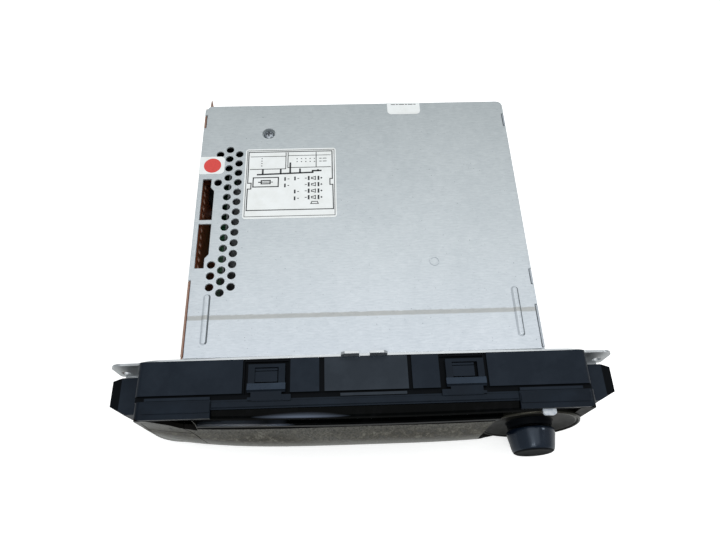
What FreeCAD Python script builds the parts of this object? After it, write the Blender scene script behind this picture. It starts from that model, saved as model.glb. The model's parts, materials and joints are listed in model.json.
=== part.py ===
import FreeCAD, Part
import math
import os
from FreeCAD import Vector

# Single slot car radio with a disc player, in millimetres.
# X runs to the right as the driver sees the front, Y to the rear, Z up.
# The origin is midway between the two ear holes, on the rear face of the steel bracket.

# Chassis box
CHASSIS_W = 180.0
CHASSIS_H = 50.0
CHASSIS_D = 158.0
SHEET = 1.0
TOP = 18.0                      # top face of the cover above the line of the ear holes
FLOOR = TOP - CHASSIS_H         # underside of the chassis
SIDE = CHASSIS_W / 2
LID = TOP - SHEET               # underside of the cover
WALL_TOP = LID - 0.05
FRONT_WALL = 0.0
REAR_WALL = CHASSIS_D - 2.0     # front face of the rear wall

# Vents in the cover
VENT_R = 2.2
VENT_PITCH = 6.48
VENT_STEP = 5.53
VENT_X = -73.25
VENT_Y = 125.4
VENT_ROWS = 15
VENT_SIDES = 8
BRIDGE_Y = 77.15                # middle of the bridge between the two long windows
SCREW_X = -51.3
SCREW_Y = 136.7

# Bracket with the two ears
BRACKET_T = 1.2
EAR_X = 122.0
EAR_HOLE_R = 2.3
EAR_TIP = 126.4

# Plastic front
FASCIA_H = 60.0
FASCIA_BASE = TOP - FASCIA_H
FRAME_HALF = 110.0
FRAME_BACK = -BRACKET_T
FRAME_FRONT = -20.6
RIM_FRONT = -29.2
RIM_LEFT = -109.8
RIM_RIGHT = 110.6
CORNER_R = 20.0                 # lower corners of the front, seen from the driver's seat
UPPER_R = 3.0                   # upper corners of the front
MOUTH_Y = -25.1                 # the carrier stops here above the gloss strip
PLASTIC = 2.2

# Silver faceplate: its front is a bulge over the whole width
FACE_LEFT = 110.0
FACE_RIGHT = 111.0
FACE_TOP = TOP - 2.5
FACE_BOTTOM = TOP - 57.5
FACE_BACK = -24.6
FACE_EDGE = 29.2                # how far the rim of the face stands out
KEY_GAP = 0.4
KEY_LEFT = -107.5
STEM_END = -19.55               # leaves the key 0.8 mm before it would press the mat flat
ARC_X = -106.5                  # arc that ends the left keys
ARC_Z = TOP - 33.0
ARC_R = 26.0
SEAMS = (0.0, 18.2, 30.2, 42.2, 55.0)

# Disc path
DISC_T = 1.2
DISC_Z = TOP - 8.5              # middle plane of a disc
DISC_X = -8.0
DISC_Y = 76.0
SLOT_H = 5.0
SLOT_HALF = 62.0
BEZEL_MID = 10.0
BEZEL_R = 3000.0                # plan radius of the gloss strip

# Dial and knob
DIAL_X = 85.0
DIAL_Y = -32.0
DIAL_Z = TOP - 30.0
DIAL_R = 25.5
DIAL_SEAT_R = 23.5
DIAL_TILT = 3.0
KNOB_BASE_R = 12.15
KNOB_TIP_R = 10.1
KNOB_STANDOFF = 2.7
KNOB_L = 11.0
SHAFT_R = 3.0

# Boards and their screws
HEX = 6                         # flats of the small screws and of their holes
MAIN_BOARD_Z = FLOOR + 6.4
BOARD_T = 1.6
FRONT_BOARD_Y = -16.6
BOARD_SCREWS = ((-78, 9), (80, 9), (-78, 149), (80, 138))
FACE_SCREWS = ((-82, 12), (82, 12), (-82, -25), (82, -25))
PANEL_SCREWS = ((-100, -4), (100, -4), (-88, -35), (88, -35))

# Disc drive
DECK_Z = -2.0
DECK_LEFT = -74.0
DECK_RIGHT = 82.0
DECK_FRONT = 6.0
DECK_REAR = 142.0
DECK_TOP = DISC_Z + 2.9
ROD_Z = 2.0
ROD_R = 1.5
ROD_OFFSET = 21.0
SCREW_OFFSET = 29.5
MODULE = 0.5
SLED_LENS = 24.0
RUNNING = 0.05
ROLLER_Y = 14.0
ROLLER_Z = 3.5
CRADLE_Y = 30.0
CRADLE_Z = 2.0
CLAMP_Y = 138.0
FLAP_Y = -12.2
FLAP_Z = 13.4


def box(x0, x1, y0, y1, z0, z1):
    return Part.makeBox(x1 - x0, y1 - y0, z1 - z0, Vector(x0, y0, z0))


def polygon(centre, axis, r, sides):
    """Corners of a regular outline across an axis; r is half the width over its flats."""
    across = Vector(axis.y, axis.z, axis.x)
    up = axis.cross(across)
    reach = r / math.cos(math.pi / sides)
    turns = [2 * math.pi * (i + 0.5) / sides for i in range(sides)]
    return [centre + across * (reach * math.cos(a)) + up * (reach * math.sin(a)) for a in turns]


def flat_face(points):
    return Part.Face(Part.makePolygon(points + [points[0]]))


def bar(start, axis, length, r, sides):
    """Round bar or hole, or one with flats where a number of sides is given."""
    if not sides:
        return Part.makeCylinder(r, length, start, axis)
    return flat_face(polygon(start, axis, r, sides)).extrude(axis * length)


def cyl_x(x0, x1, y, z, r, sides=0):
    return bar(Vector(x0, y, z), Vector(1, 0, 0), x1 - x0, r, sides)


def cyl_y(y0, y1, x, z, r, sides=0):
    return bar(Vector(x, y0, z), Vector(0, 1, 0), y1 - y0, r, sides)


def cyl_z(z0, z1, x, y, r, sides=0):
    return bar(Vector(x, y, z0), Vector(0, 0, 1), z1 - z0, r, sides)


def tapered(start, axis, length, r0, r1, sides):
    """Bar with flats whose width changes along its length."""
    low = polygon(start, axis, r0, sides)
    high = polygon(start + axis * length, axis, r1, sides)
    faces = [flat_face(low), flat_face(high)]
    faces += [flat_face([low[i - 1], low[i], high[i], high[i - 1]]) for i in range(sides)]
    return Part.makeSolid(Part.makeShell(faces))


def extrude(points, along):
    return flat_face(points).extrude(along)


def prism_x(profile, x0, x1):
    return extrude([Vector(x0, y, z) for y, z in profile], Vector(x1 - x0, 0, 0))


def prism_y(profile, y0, y1):
    return extrude([Vector(x, y0, z) for x, z in profile], Vector(0, y1 - y0, 0))


def prism_z(profile, z0, z1):
    return extrude([Vector(x, y, z0) for x, y in profile], Vector(0, 0, z1 - z0))


def join(shapes):
    return shapes[0].multiFuse(shapes[1:]).removeSplitter()


def round_edges(shape, radius, wanted):
    """Fillet the edges whose middle point satisfies the test."""
    edges = [e for e in shape.Edges if wanted(e)]
    return shape.makeFillet(radius, edges)


def runs_along(edge, axis):
    first, last = edge.Vertexes[0].Point, edge.Vertexes[-1].Point
    return (last - first).Length > 1e-6 and (last - first).cross(axis).Length < 1e-6


def middle(edge):
    return edge.BoundBox.Center


def both_sides(shape):
    return join([shape, shape.mirror(Vector(0, 0, 0), Vector(1, 0, 0))])


def mirrored(shape):
    return shape.mirror(Vector(0, 0, 0), Vector(1, 0, 0))


def on_dial(shape):
    """Tip a shape that was made upright by the dial's lean."""
    turned = shape.copy()
    turned.rotate(Vector(DIAL_X, DIAL_Y, DIAL_Z), Vector(1, 0, 0), -DIAL_TILT)
    return turned


def ring_of_revolution(profile, x, z):
    """Turn an outline of (radius, y) pairs about an axis along Y."""
    face = flat_face([Vector(x + r, y, z) for r, y in profile])
    return face.revolve(Vector(x, 0, z), Vector(0, 1, 0), 360)


def pan_head_screw(x, y, z, r_head, h_head, r_shank, length):
    """Upright screw with a domed head and a cross recess; the flat side of the head lies at z."""
    up = Vector(0, 0, 1)
    low = 0.45 * h_head
    rim = cyl_z(z, z + low, x, y, r_head, 12)
    dome = tapered(Vector(x, y, z + low), up, h_head - low, r_head, 0.7 * r_head, 12)
    shank = cyl_z(z - length, z, x, y, r_shank, HEX)
    reach, half = 0.6 * r_head, 0.3
    recess = join([
        box(x - reach, x + reach, y - half, y + half, z + low, z + h_head + 1),
        box(x - half, x + half, y - reach, y + reach, z + low, z + h_head + 1),
    ])
    return join([rim, dome, shank]).cut(recess)


# Sheet metal case

def long_window(sign):
    """Long vent in the cover; the two mirror each other across the bridge."""
    shape = [(-87.4, 1.25), (-80.6, 1.25), (-80.6, 20.0), (-82.6, 22.3), (-82.6, 28.1), (-87.4, 28.1)]
    return prism_z([(x, BRIDGE_Y + sign * y) for x, y in shape], LID - 1, TOP + 1)


def cover_notches():
    cuts = []
    for y0, y1 in ((-1.0, 23.8), (35.0, 44.0), (139.0, 148.4)):
        cuts.append(box(SIDE - 1.5, SIDE + 1, y0, y1, LID - 1, TOP + 1))
    for y0, y1 in ((-1.0, 42.1), (141.8, 151.4)):
        cuts.append(box(-SIDE - 1, -SIDE + 1.5, y0, y1, LID - 1, TOP + 1))
    return cuts


def vent_holes():
    holes = []
    for column, rows in ((0, range(VENT_ROWS)), (1, range(VENT_ROWS - 1)), (-1, (0, 3, 11, 12, 13))):
        for row in rows:
            y = VENT_Y - VENT_PITCH * (row + 0.5 * abs(column))
            holes.append(cyl_z(LID - 1, TOP + 1, VENT_X + column * VENT_STEP, y, VENT_R, VENT_SIDES))
    return holes


def stiffening_bead(x):
    """Pressed bead with sloping sides and ends."""
    width, rise, slope = 4.0, 0.8, 0.9
    y0, y1 = 6.4, 34.1
    foot, crest = TOP - 0.5, TOP + rise
    across = [(x - width / 2, foot), (x - width / 2, TOP), (x - width / 2 + slope, crest),
              (x + width / 2 - slope, crest), (x + width / 2, TOP), (x + width / 2, foot)]
    along = [(y0, foot), (y0, TOP), (y0 + slope, crest), (y1 - slope, crest), (y1, TOP), (y1, foot)]
    return prism_y(across, y0, y1).common(prism_x(along, x - width, x + width))


def top_cover():
    corner = 3.0
    outline = [(-SIDE, 0), (SIDE, 0), (SIDE, CHASSIS_D), (-SIDE + corner, CHASSIS_D), (-SIDE, CHASSIS_D - corner)]
    plate = prism_z(outline, LID, TOP)
    rear_right = lambda e: runs_along(e, Vector(0, 0, 1)) and middle(e).x > 80 and middle(e).y > 150
    plate = round_edges(plate, 3.5, rear_right)
    cup_out = cyl_z(TOP - 2.6, TOP, SCREW_X, SCREW_Y, 4.4, 12)
    cup_in = cyl_z(TOP - 1.8, TOP + 1, SCREW_X, SCREW_Y, 3.6, 12)
    skirts = both_sides(box(SIDE - 2.1, SIDE - 1.1, 4, 150, LID - 6, LID))
    rear_skirt = box(-SIDE + 6, SIDE - 6, CHASSIS_D - SHEET, CHASSIS_D, LID - 9, LID)
    beads = [stiffening_bead(79.3), stiffening_bead(-79.3)]
    cover = join([plate.cut(cup_out), cup_out.cut(cup_in), skirts, rear_skirt] + beads)
    ring = cyl_z(TOP - 0.4, TOP + 1, 39.3, 49.8, 2.4, 10).cut(cyl_z(TOP - 1, TOP + 1, 39.3, 49.8, 1.7, 10))
    screw_hole = cyl_z(0, TOP, SCREW_X, SCREW_Y, 1.7, HEX)
    return cover.cut(vent_holes() + cover_notches() + [long_window(1), long_window(-1), ring, screw_hole])


def chassis_tub():
    outer = box(-SIDE + SHEET, SIDE, FRONT_WALL, REAR_WALL + SHEET, FLOOR, WALL_TOP)
    outer = round_edges(outer, 1.4, lambda e: abs(middle(e).z - FLOOR) < 0.1 and middle(e).x > -80)
    inner = box(-SIDE - 1, SIDE - SHEET, FRONT_WALL + SHEET, REAR_WALL, FLOOR + SHEET, TOP)
    tub = outer.cut(inner)
    tabs = [box(SIDE - SHEET, SIDE, y0 + 0.5, y1 - 0.5, WALL_TOP - 1, TOP - 0.3)
            for y0, y1 in ((0.6, 23.8), (35.0, 44.0), (139.0, 148.4))]
    screw_tab = box(SCREW_X - 6, SCREW_X + 6, SCREW_Y - 5, REAR_WALL, TOP - 3.7, TOP - 2.7)
    posts = [cyl_z(FLOOR + 0.5, MAIN_BOARD_Z, x, y, 2.5, HEX) for x, y in BOARD_SCREWS]
    tub = join([tub, screw_tab] + tabs + posts)
    cuts = [
        box(DISC_X - 68, DISC_X + 68, -1, 3, DISC_Z - 4, DISC_Z + 4.5),
        box(20, 44, -1, 3, MAIN_BOARD_Z + 2, MAIN_BOARD_Z + 10),
        box(7.4, 65.1, REAR_WALL - 1, CHASSIS_D, MAIN_BOARD_Z + BOARD_T - 0.2, MAIN_BOARD_Z + 24.8),
        box(63, 84.6, REAR_WALL - 1, CHASSIS_D, MAIN_BOARD_Z + BOARD_T - 0.2, MAIN_BOARD_Z + 10.4),
        box(-SIDE, -SIDE + 5, REAR_WALL - 1, CHASSIS_D, TOP - 4.1, TOP - 2.9),
        cyl_y(REAR_WALL - 1, CHASSIS_D, -22, MAIN_BOARD_Z + 12, 6.8, 16),
        cyl_z(TOP - 5, TOP, SCREW_X, SCREW_Y, 1.4, HEX),
    ]
    cuts += [cyl_y(-1, 2, x, z, 1.4, HEX) for x, z in FACE_SCREWS]
    for i in range(8):
        cuts.append(box(-82 + i * 6, -79.5 + i * 6, 96, 124, FLOOR - 1, FLOOR + 2))
    return tub.cut(cuts)


def side_plate():
    """Left wall: a thick plate that also carries heat away, with short vents near its top."""
    wall = box(-SIDE, -SIDE + SHEET, FRONT_WALL, REAR_WALL + SHEET, FLOOR, WALL_TOP)
    foot = box(-SIDE + SHEET, -SIDE + 9, 6, 150, FLOOR + SHEET, FLOOR + 2 * SHEET)
    notches = ((0.6, 42.1), (141.8, 151.4))
    tabs = [box(-SIDE, -SIDE + SHEET, y0 + 0.5, y1 - 0.5, WALL_TOP - 1, TOP - 0.3) for y0, y1 in notches]
    root, tip = [(x, REAR_WALL) for x in (-SIDE + 1.6, -SIDE + 4.8)], [(x, 165.6) for x in (-SIDE + 2.6, -SIDE + 2.2)]
    spike = prism_z(root + tip, TOP - 4, TOP - 3)
    root = box(-SIDE, -SIDE + 4.8, REAR_WALL - 6, REAR_WALL, TOP - 4, TOP - 3)
    plate = join([wall, foot, root, spike] + tabs)
    pitch = 4.7
    for i in range(14):
        y = BRIDGE_Y + (i - 6.5) * pitch
        plate = plate.cut(box(-SIDE - 1, -SIDE + 2, y - 1.1, y + 1.1, TOP - 14, TOP - 4))
    return plate


def main_board():
    board = box(-86, 87, 4, 154, MAIN_BOARD_Z, MAIN_BOARD_Z + BOARD_T)
    return board.cut([cyl_z(MAIN_BOARD_Z - 1, MAIN_BOARD_Z + 3, x, y, 1.5, HEX) for x, y in BOARD_SCREWS])


def connector_block():
    """Four sockets for the car's harness in two rows, and the fuse seat beside them."""
    z0 = MAIN_BOARD_Z + BOARD_T
    block = join([box(8, 64.5, 143.5, 163, z0, z0 + 23), box(64, 84, 144, 160, z0, z0 + 8.5)])
    cuts = []
    for x0 in (11.0, 38.0):
        for z in (z0 + 1.5, z0 + 12.5):
            cuts.append(box(x0, x0 + 23.0, 149, 164, z, z + 9.0))
            cuts.append(box(x0 + 9.5, x0 + 13.5, 156, 164, z + 8.5, z + 10.3))
    cuts.append(box(68, 80.5, 152, 164, z0 + 2.5, z0 + 7.5))
    return block.cut(cuts)


def connector_pins():
    z0 = MAIN_BOARD_Z + BOARD_T
    pins = []
    for x0 in (11.0, 38.0):
        for z in (z0 + 1.5, z0 + 12.5):
            for column in range(4):
                for row in range(2):
                    x = x0 + 4.0 + column * 5.0
                    h = z + 2.5 + row * 4.0
                    pins.append(box(x - 0.6, x + 0.6, 149, 156.5, h - 0.4, h + 0.4))
    return Part.makeCompound(pins)


def blade_fuse():
    z0 = MAIN_BOARD_Z + BOARD_T
    head = box(69, 79.5, 155, 161, z0 + 3, z0 + 7)
    head = round_edges(head, 0.6, lambda e: abs(middle(e).y - 161) < 0.1)
    legs = [box(70, 72.5, 152, 155, z0 + 4.6, z0 + 5.4), box(76, 78.5, 152, 155, z0 + 4.6, z0 + 5.4)]
    return join([head] + legs)


def aerial_socket():
    """Coaxial socket: flanged metal tube with the contact deep in its insulator."""
    x, z = -22.0, MAIN_BOARD_Z + 12
    tube = cyl_y(148, 167, x, z, 6.3, 16)
    flange = cyl_y(152, REAR_WALL, x, z, 8.5, 16)
    foot = box(x - 7, x + 7, 146, 152, MAIN_BOARD_Z + BOARD_T, z)
    cuts = [cyl_y(154, 168, x, z, 4.5), cyl_y(150, 155, x, z, 1.2, 8)]
    return join([tube, flange, foot]).cut(cuts)


def tuner_can():
    """Folded screening can with a row of tuning holes in its lid."""
    z0 = MAIN_BOARD_Z + BOARD_T
    can = box(-14, 30, 96, 130, z0, z0 + 12)
    can = can.cut(box(-13.5, 29.5, 96.5, 129.5, z0 - 1, z0 + 11.5))
    holes = [cyl_z(z0 + 11, z0 + 13, -6 + i * 9, 104 + (i % 2) * 16, 2.0, 8) for i in range(4)]
    return can.cut(holes)


def board_components():
    """Larger parts on the main board: two smoothing capacitors, a coil, a processor and a ribbon socket."""
    z0 = MAIN_BOARD_Z + BOARD_T
    capacitors = [cyl_z(z0, z0 + 13, -46 + i * 16, 138, 6.3, 16) for i in range(2)]
    coil = cyl_z(z0, z0 + 9, 70, 120, 9, 16).cut(cyl_z(z0 + 3, z0 + 10, 70, 120, 4, 12))
    processor = box(-40, -16, 50, 74, z0, z0 + 2)
    socket = box(22, 42, 8, 13, z0, z0 + 6)
    return Part.makeCompound(capacitors + [coil, processor, socket])


def amplifier_chip():
    """Power amplifier standing on the board with its back on the side plate."""
    z0 = MAIN_BOARD_Z + BOARD_T
    body = box(-SIDE + SHEET, -SIDE + 5.6, 104, 134, z0 + 4, z0 + 20)
    body = body.cut([box(-SIDE + 3, -SIDE + 6, y - 1.7, y + 1.7, z0 + 15, z0 + 21) for y in (104, 134)])
    legs = [box(-SIDE + 3.4, -SIDE + 4.2, 106 + i * 3, 107 + i * 3, z0, z0 + 4) for i in range(9)]
    return join([body] + legs)


def amplifier_clamp():
    z0 = MAIN_BOARD_Z + BOARD_T
    bar = box(-SIDE + 5.6, -SIDE + 7.1, 98, 140, z0 + 8, z0 + 14)
    ends = [box(-SIDE + SHEET, -SIDE + 7.1, y, y + 3.5, z0 + 8, z0 + 14) for y in (98.0, 136.5)]
    return join([bar] + ends)


def cover_screw():
    return pan_head_screw(SCREW_X, SCREW_Y, TOP - 1.8, 2.9, 1.5, 1.4, 4.0)


def chassis_screws():
    """Screws of the main board, of the bracket and of the board behind the face."""
    z = MAIN_BOARD_Z + BOARD_T
    r = 1.4
    screws = [join([cyl_z(z, z + 1.6, x, y, 2.8, HEX), cyl_z(z - 1.5, z, x, y, r, HEX)]) for x, y in BOARD_SCREWS]
    y = -BRACKET_T
    screws += [join([cyl_y(y - 1.2, y, x, z, 2.2, HEX), cyl_y(y, 3.5, x, z, r, HEX)]) for x, z in FACE_SCREWS]
    y = FRONT_BOARD_Y
    screws += [join([cyl_y(y - 1.2, y, x, z, 2.4, HEX), cyl_y(y, y + 5.0, x, z, r, HEX)]) for x, z in PANEL_SCREWS]
    return Part.makeCompound(screws)


# Steel bracket

def line(a, b):
    return Part.makeLine(a, b)


def arc(a, b, c):
    return Part.Arc(a, b, c).toShape()


def front_bracket():
    """Flat plate with an arched top, two locating tabs and an ear at each side."""
    y0 = -BRACKET_T
    crown, shoulder = TOP + 0.4, TOP - 1.2
    ear_top, ear_low = TOP - 5.2, TOP - 24.5
    half, root = 107.5, 112.0
    r, r_low = 6.0, 2.0
    base = FASCIA_BASE + 12
    at = [Vector(x, y0, z) for x, z in (
        (0, crown), (50, crown - 0.4), (98, shoulder), (106, TOP - 2.4), (root, ear_top),
        (EAR_TIP - r, ear_top), (EAR_TIP - 0.29 * r, ear_top - 0.29 * r), (EAR_TIP, ear_top - r),
        (EAR_TIP, ear_low + r_low), (EAR_TIP - 0.29 * r_low, ear_low + 0.29 * r_low), (EAR_TIP - r_low, ear_low),
        (half, ear_low), (half, base), (0, base))]
    outline = [
        arc(at[0], at[1], at[2]), arc(at[2], at[3], at[4]), line(at[4], at[5]), arc(at[5], at[6], at[7]),
        line(at[7], at[8]), arc(at[8], at[9], at[10]), line(at[10], at[11]), line(at[11], at[12]),
        line(at[12], at[13]), line(at[13], at[0]),
    ]
    plate = Part.Face(Part.Wire(outline)).extrude(Vector(0, BRACKET_T, 0))
    hook = box(root, EAR_TIP - r_low, -4.0, 0, ear_low - BRACKET_T, ear_low)
    plate = both_sides(join([plate, hook]))
    tabs = []
    for inner, outer in ((-2.4, -11.3), (2.8, 11.4)):
        lean = math.copysign(1.8, outer)
        shape = [(inner, TOP - 2), (inner, TOP + 4.7), (outer - lean, TOP + 4.7), (outer, TOP + 3.1), (outer, TOP - 2)]
        tabs.append(prism_y(shape, y0, 0))
    cuts = [box(DISC_X - 65, DISC_X + 65, -2, 1, DISC_Z - 3.5, DISC_Z + 3.5)]
    cuts.append(box(20, 44, -2, 1, MAIN_BOARD_Z + 2, MAIN_BOARD_Z + 10))
    cuts += [cyl_y(-2, 1, sign * EAR_X, 0, EAR_HOLE_R) for sign in (1, -1)]
    cuts += [cyl_y(-2, 1, x, z, 1.45, HEX) for x, z in FACE_SCREWS]
    return join([plate] + tabs).cut(cuts)


# Black plastic front

def clip_pocket():
    """Side wing of the frame: an open pocket with slanted corners for the dashboard's clip."""
    top, low = TOP - 15.0, TOP - 38.0
    wall = 1.6
    root = FRAME_HALF - 1
    plan = [(root, -4.6), (123.3, -4.6), (127.0, -6.0), (127.0, -18.8), (118.4, -23.2), (root, -23.2)]
    inside = [(root, -3), (122.9, -6.2), (127.0 - wall, -7.0), (127.0 - wall, -18.0), (118.0, -21.6), (root, -21.6)]
    shell = prism_z(plan, low, top).cut(prism_z(inside, low - 1, top - wall))
    step = box(122.4, 128, -30, 0, top - 0.8, top + 1)
    window = box(124, 129, -15, -9.5, low + 5, top - 8)
    carrier_room = box(root - 1, RIM_RIGHT + 0.3, -24, FRAME_FRONT, low - 1, top + 1)
    return shell.cut([window, step, carrier_room])


def rounded_front(half, y0, y1, z0, z1, r_low, r_high):
    """Block with large lower and small upper corners as the driver sees it."""
    block = box(-half, half, y0, y1, z0, z1)
    block = round_edges(block, r_low, lambda e: runs_along(e, Vector(0, 1, 0)) and middle(e).z < 0)
    return round_edges(block, r_high, lambda e: runs_along(e, Vector(0, 1, 0)) and middle(e).z > z1 - 0.1)


def front_frame():
    """Rear half of the plastic front: a box with a stepped top between pads and a clip pocket at each end."""
    body = rounded_front(FRAME_HALF, FRAME_FRONT, FRAME_BACK, FASCIA_BASE + 1, TOP, CORNER_R - 1, UPPER_R)
    hollow = rounded_front(FRAME_HALF - PLASTIC, FRAME_FRONT - 1, FRAME_BACK - PLASTIC, FASCIA_BASE + 3.4, TOP - 3.2,
                           CORNER_R - 1 - PLASTIC, 0.8)
    lowered = ((-59, -36), (-22, -19.5), (21, 23), (36.3, 60))
    steps = [box(x0, x1, -18.0, 1, TOP - 1, TOP + 1) for x0, x1 in lowered]
    steps.append(box(-FRAME_HALF - 1, FRAME_HALF + 1, FRAME_FRONT - 1, -18.0, TOP - 1.6, TOP + 1))
    steps += [box(x - 10.6, x + 10.6, -18.5, -2.4, TOP - 2.2, TOP + 1) for x in (-47.5, 47.5)]
    body = body.cut([hollow] + steps)
    ledge = [box(x0, x1, -20.4, -19.0, TOP - 2.0, TOP - 0.5) for x0, x1 in ((-105, -74), (-12, 20), (74.3, 105))]
    rows = (-12.0, -9.5, -7.0)
    ridges = [box(x - 4.5, x + 4.5, y, y + 0.8, TOP - 2.5, TOP - 1.2) for x in (-47.5, 47.5) for y in rows]
    pockets = [clip_pocket(), mirrored(clip_pocket())]
    bosses = [cyl_y(FRONT_BOARD_Y + BOARD_T, FRAME_BACK - 1, x, z, 3.2, HEX) for x, z in PANEL_SCREWS]
    frame = join([body] + ledge + ridges + pockets + bosses)
    cuts = [
        box(DISC_X - 64.5, DISC_X + 64.5, -6, 0, DISC_Z - 3.6, DISC_Z + 3.6),
        box(20, 44, -6, 0, MAIN_BOARD_Z + 2, MAIN_BOARD_Z + 10),
    ]
    cuts += [cyl_y(-6, 0, x, z, 2.5, HEX) for x, z in FACE_SCREWS]
    cuts += [cyl_y(-20, FRONT_BOARD_Y + 5.2, x, z, 1.4, HEX) for x, z in PANEL_SCREWS]
    return frame.cut(cuts)


def snap_latch(x0, x1):
    """Snap loop that reaches back over the frame: side arms, a rear crossbar and a raised front lip."""
    low, high = TOP - 0.9, TOP + 0.2
    loop = box(x0, x1, -21.5, -3.9, low, high)
    window = box(x0 + 3.2, x1 - 3.2, -13.4, -5.6, low - 1, high + 1)
    lip_side = [(-17.6, low), (-13.4, low), (-13.4, high + 0.3), (-16.6, high + 0.7), (-17.6, high - 0.2)]
    lip = prism_x(lip_side, x0 - 0.3, x1 + 0.3)
    side_cuts = [box(a, b, -20.0, -17.7, low - 1, high + 1) for a, b in ((x0 - 1, x0 + 1.6), (x1 - 1.6, x1 + 1))]
    return join([loop, lip]).cut([window] + side_cuts)


def front_view(grow):
    """Outline of the plastic front as the driver sees it, with large lower and small upper corners."""
    x0, x1 = RIM_LEFT - grow, RIM_RIGHT + grow
    z0, z1 = FASCIA_BASE - grow, TOP - 0.3 + grow
    solid = box(x0, x1, -60, 0, z0, z1)
    solid = round_edges(solid, CORNER_R + grow, lambda e: runs_along(e, Vector(0, 1, 0)) and middle(e).z < 0)
    upper = max(UPPER_R + grow, 0.3)
    return round_edges(solid, upper, lambda e: runs_along(e, Vector(0, 1, 0)) and middle(e).z > 0)


def face_carrier():
    """Front half of the plastic front: a deep rim with end blocks, a long bar and two snap loops."""
    back = FRAME_FRONT
    left, right = -73.5, 73.8
    ring = box(RIM_LEFT, RIM_RIGHT, RIM_FRONT, back, FASCIA_BASE, TOP - 0.3)
    ring = round_edges(ring, 4.0, lambda e: runs_along(e, Vector(0, 0, 1)) and middle(e).y < RIM_FRONT + 1)
    ring = ring.common(front_view(0))
    hollow = front_view(-PLASTIC).common(box(-200, 200, RIM_FRONT - 1, back + 1, -100, 100))
    side_gap = box(-200, 200, RIM_FRONT - 1, FACE_BACK, FACE_BOTTOM - 0.2, TOP - 0.3 - PLASTIC)
    step = box(left, right, RIM_FRONT - 1, back + 1, TOP - 1.1, TOP + 1)
    mouth = box(left, right, RIM_FRONT - 1, MOUTH_Y, TOP - 4, TOP + 1)
    ring = ring.cut([hollow, side_gap, step, mouth])
    ends = ((-105.2, left - 0.3), (right + 0.5, 106.8))
    blocks = [box(x0, x1, -26.5, -21.8, TOP - 1, TOP + 0.2) for x0, x1 in ends]
    bar_top = TOP - 0.5
    bar_foot = TOP - 1.6
    bar_side = [(-24.5, bar_foot), (-24.5, bar_top - 0.4), (-24.1, bar_top), (-21.7, bar_top), (-21.3, bar_foot)]
    long_bar = prism_x(bar_side, left + 0.5, right - 0.8)
    nib = box(88.9, 92.0, RIM_FRONT, -28.0, TOP - 1, TOP)
    latches = [(-56.3, -38.5, -54.3, -35.6), (39.5, 58.3, 36.8, 56.6)]
    loops = [snap_latch(x0, x1) for x0, x1, _, _ in latches]
    roots = [box(x0, x1, -21.9, back, TOP - 2.0, TOP + 0.1) for _, _, x0, x1 in latches]
    tongues = [box(x0, x1, back, -18.9, TOP - 0.9, TOP + 0.1) for _, _, x0, x1 in latches]
    return join([ring, long_bar, nib] + loops + blocks + roots + tongues)


# Silver faceplate and what sits in it

def bulge(z):
    """How far the middle of the face stands out beyond its rim at this height."""
    depth = TOP - z
    crest, rise, start = 28.0, 8.2, 0.7
    if depth < crest:
        swell = (1 - math.cos(math.pi * (depth - 2.5) / (crest - 2.5))) / 2
        return start + rise * swell ** 1.4
    return start + rise * math.cos(math.pi / 2 * (depth - crest) / 31.0) ** 0.75


def plan_front(z, inset, shares):
    """Points of the front edge at one height; the front flattens in the middle."""
    points = []
    for share in shares:
        half = (FACE_RIGHT if share > 0 else FACE_LEFT) - inset
        y = -(FACE_EDGE + bulge(z) * (1 - abs(share) ** 3.7)) + inset
        points.append(Vector(half * share, y, z))
    return points


def closed_plan(front, edges, y_back):
    """Close a front edge with straight sides and a straight back."""
    z = front[0].z
    back_left, back_right = Vector(front[0].x, y_back, z), Vector(front[-1].x, y_back, z)
    sides = [line(front[-1], back_right), line(back_right, back_left), line(back_left, front[0])]
    return Part.Wire(edges + sides)


def outer_face():
    """Solid under the outer surface of the face, made of eight strips that curve in plan."""
    shares = (-1.0, -0.85, -0.5, 0.0, 0.5, 0.85, 1.0)
    plans = []
    for i in range(9):
        front = plan_front(FACE_TOP + (FACE_BOTTOM - FACE_TOP) * i / 8.0, 0, shares)
        curve = Part.BSplineCurve()
        curve.interpolate(Points=front, Parameters=shares)
        plans.append(closed_plan(front, [curve.toShape()], FACE_BACK))
    return Part.makeLoft(plans, True, True).common(front_view(-0.2))


def inner_face():
    """Room behind the shell, with flats that follow the outer surface."""
    plans = []
    for i in range(6):
        z = FACE_TOP - PLASTIC + (FACE_BOTTOM - FACE_TOP + 2 * PLASTIC) * i / 5.0
        front = plan_front(z, PLASTIC, (-1.0, -0.85, -0.5, 0.0, 0.5, 0.85, 1.0))
        plans.append(closed_plan(front, [line(a, b) for a, b in zip(front, front[1:])], FACE_BACK + 6))
    return Part.makeLoft(plans, True, True).common(front_view(-0.2 - PLASTIC))


OUTER = outer_face()
ROOM = inner_face()
SKIN = OUTER.cut(ROOM)


def wedge_area():
    """Opening over the left keys, below the rim; its lower side slants down and the top key follows it."""
    low = [(-106.5, -0.5), (-104.0, -2.6), (-97.5, -8.6), (-90.5, -13.2), (-82.2, -15.4), (-82.2, -0.5)]
    return prism_y([(x, TOP + z) for x, z in low], -50, -20)


def key_field(grow):
    """Area of the four keys at the left end: its right side is an arc."""
    area = box(KEY_LEFT - grow, -70, -50, -20, TOP - SEAMS[-1] - grow, TOP)
    area = area.common(cyl_y(-50, -20, ARC_X, ARC_Z, ARC_R + grow))
    return area.common(front_view(grow - PLASTIC - 0.5))


def left_key_area(i):
    strip = box(-110, -70, -50, -20, TOP - SEAMS[i + 1] + KEY_GAP / 2, TOP - SEAMS[i] - KEY_GAP / 2)
    return key_field(0).common(strip).cut(wedge_area())


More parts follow.
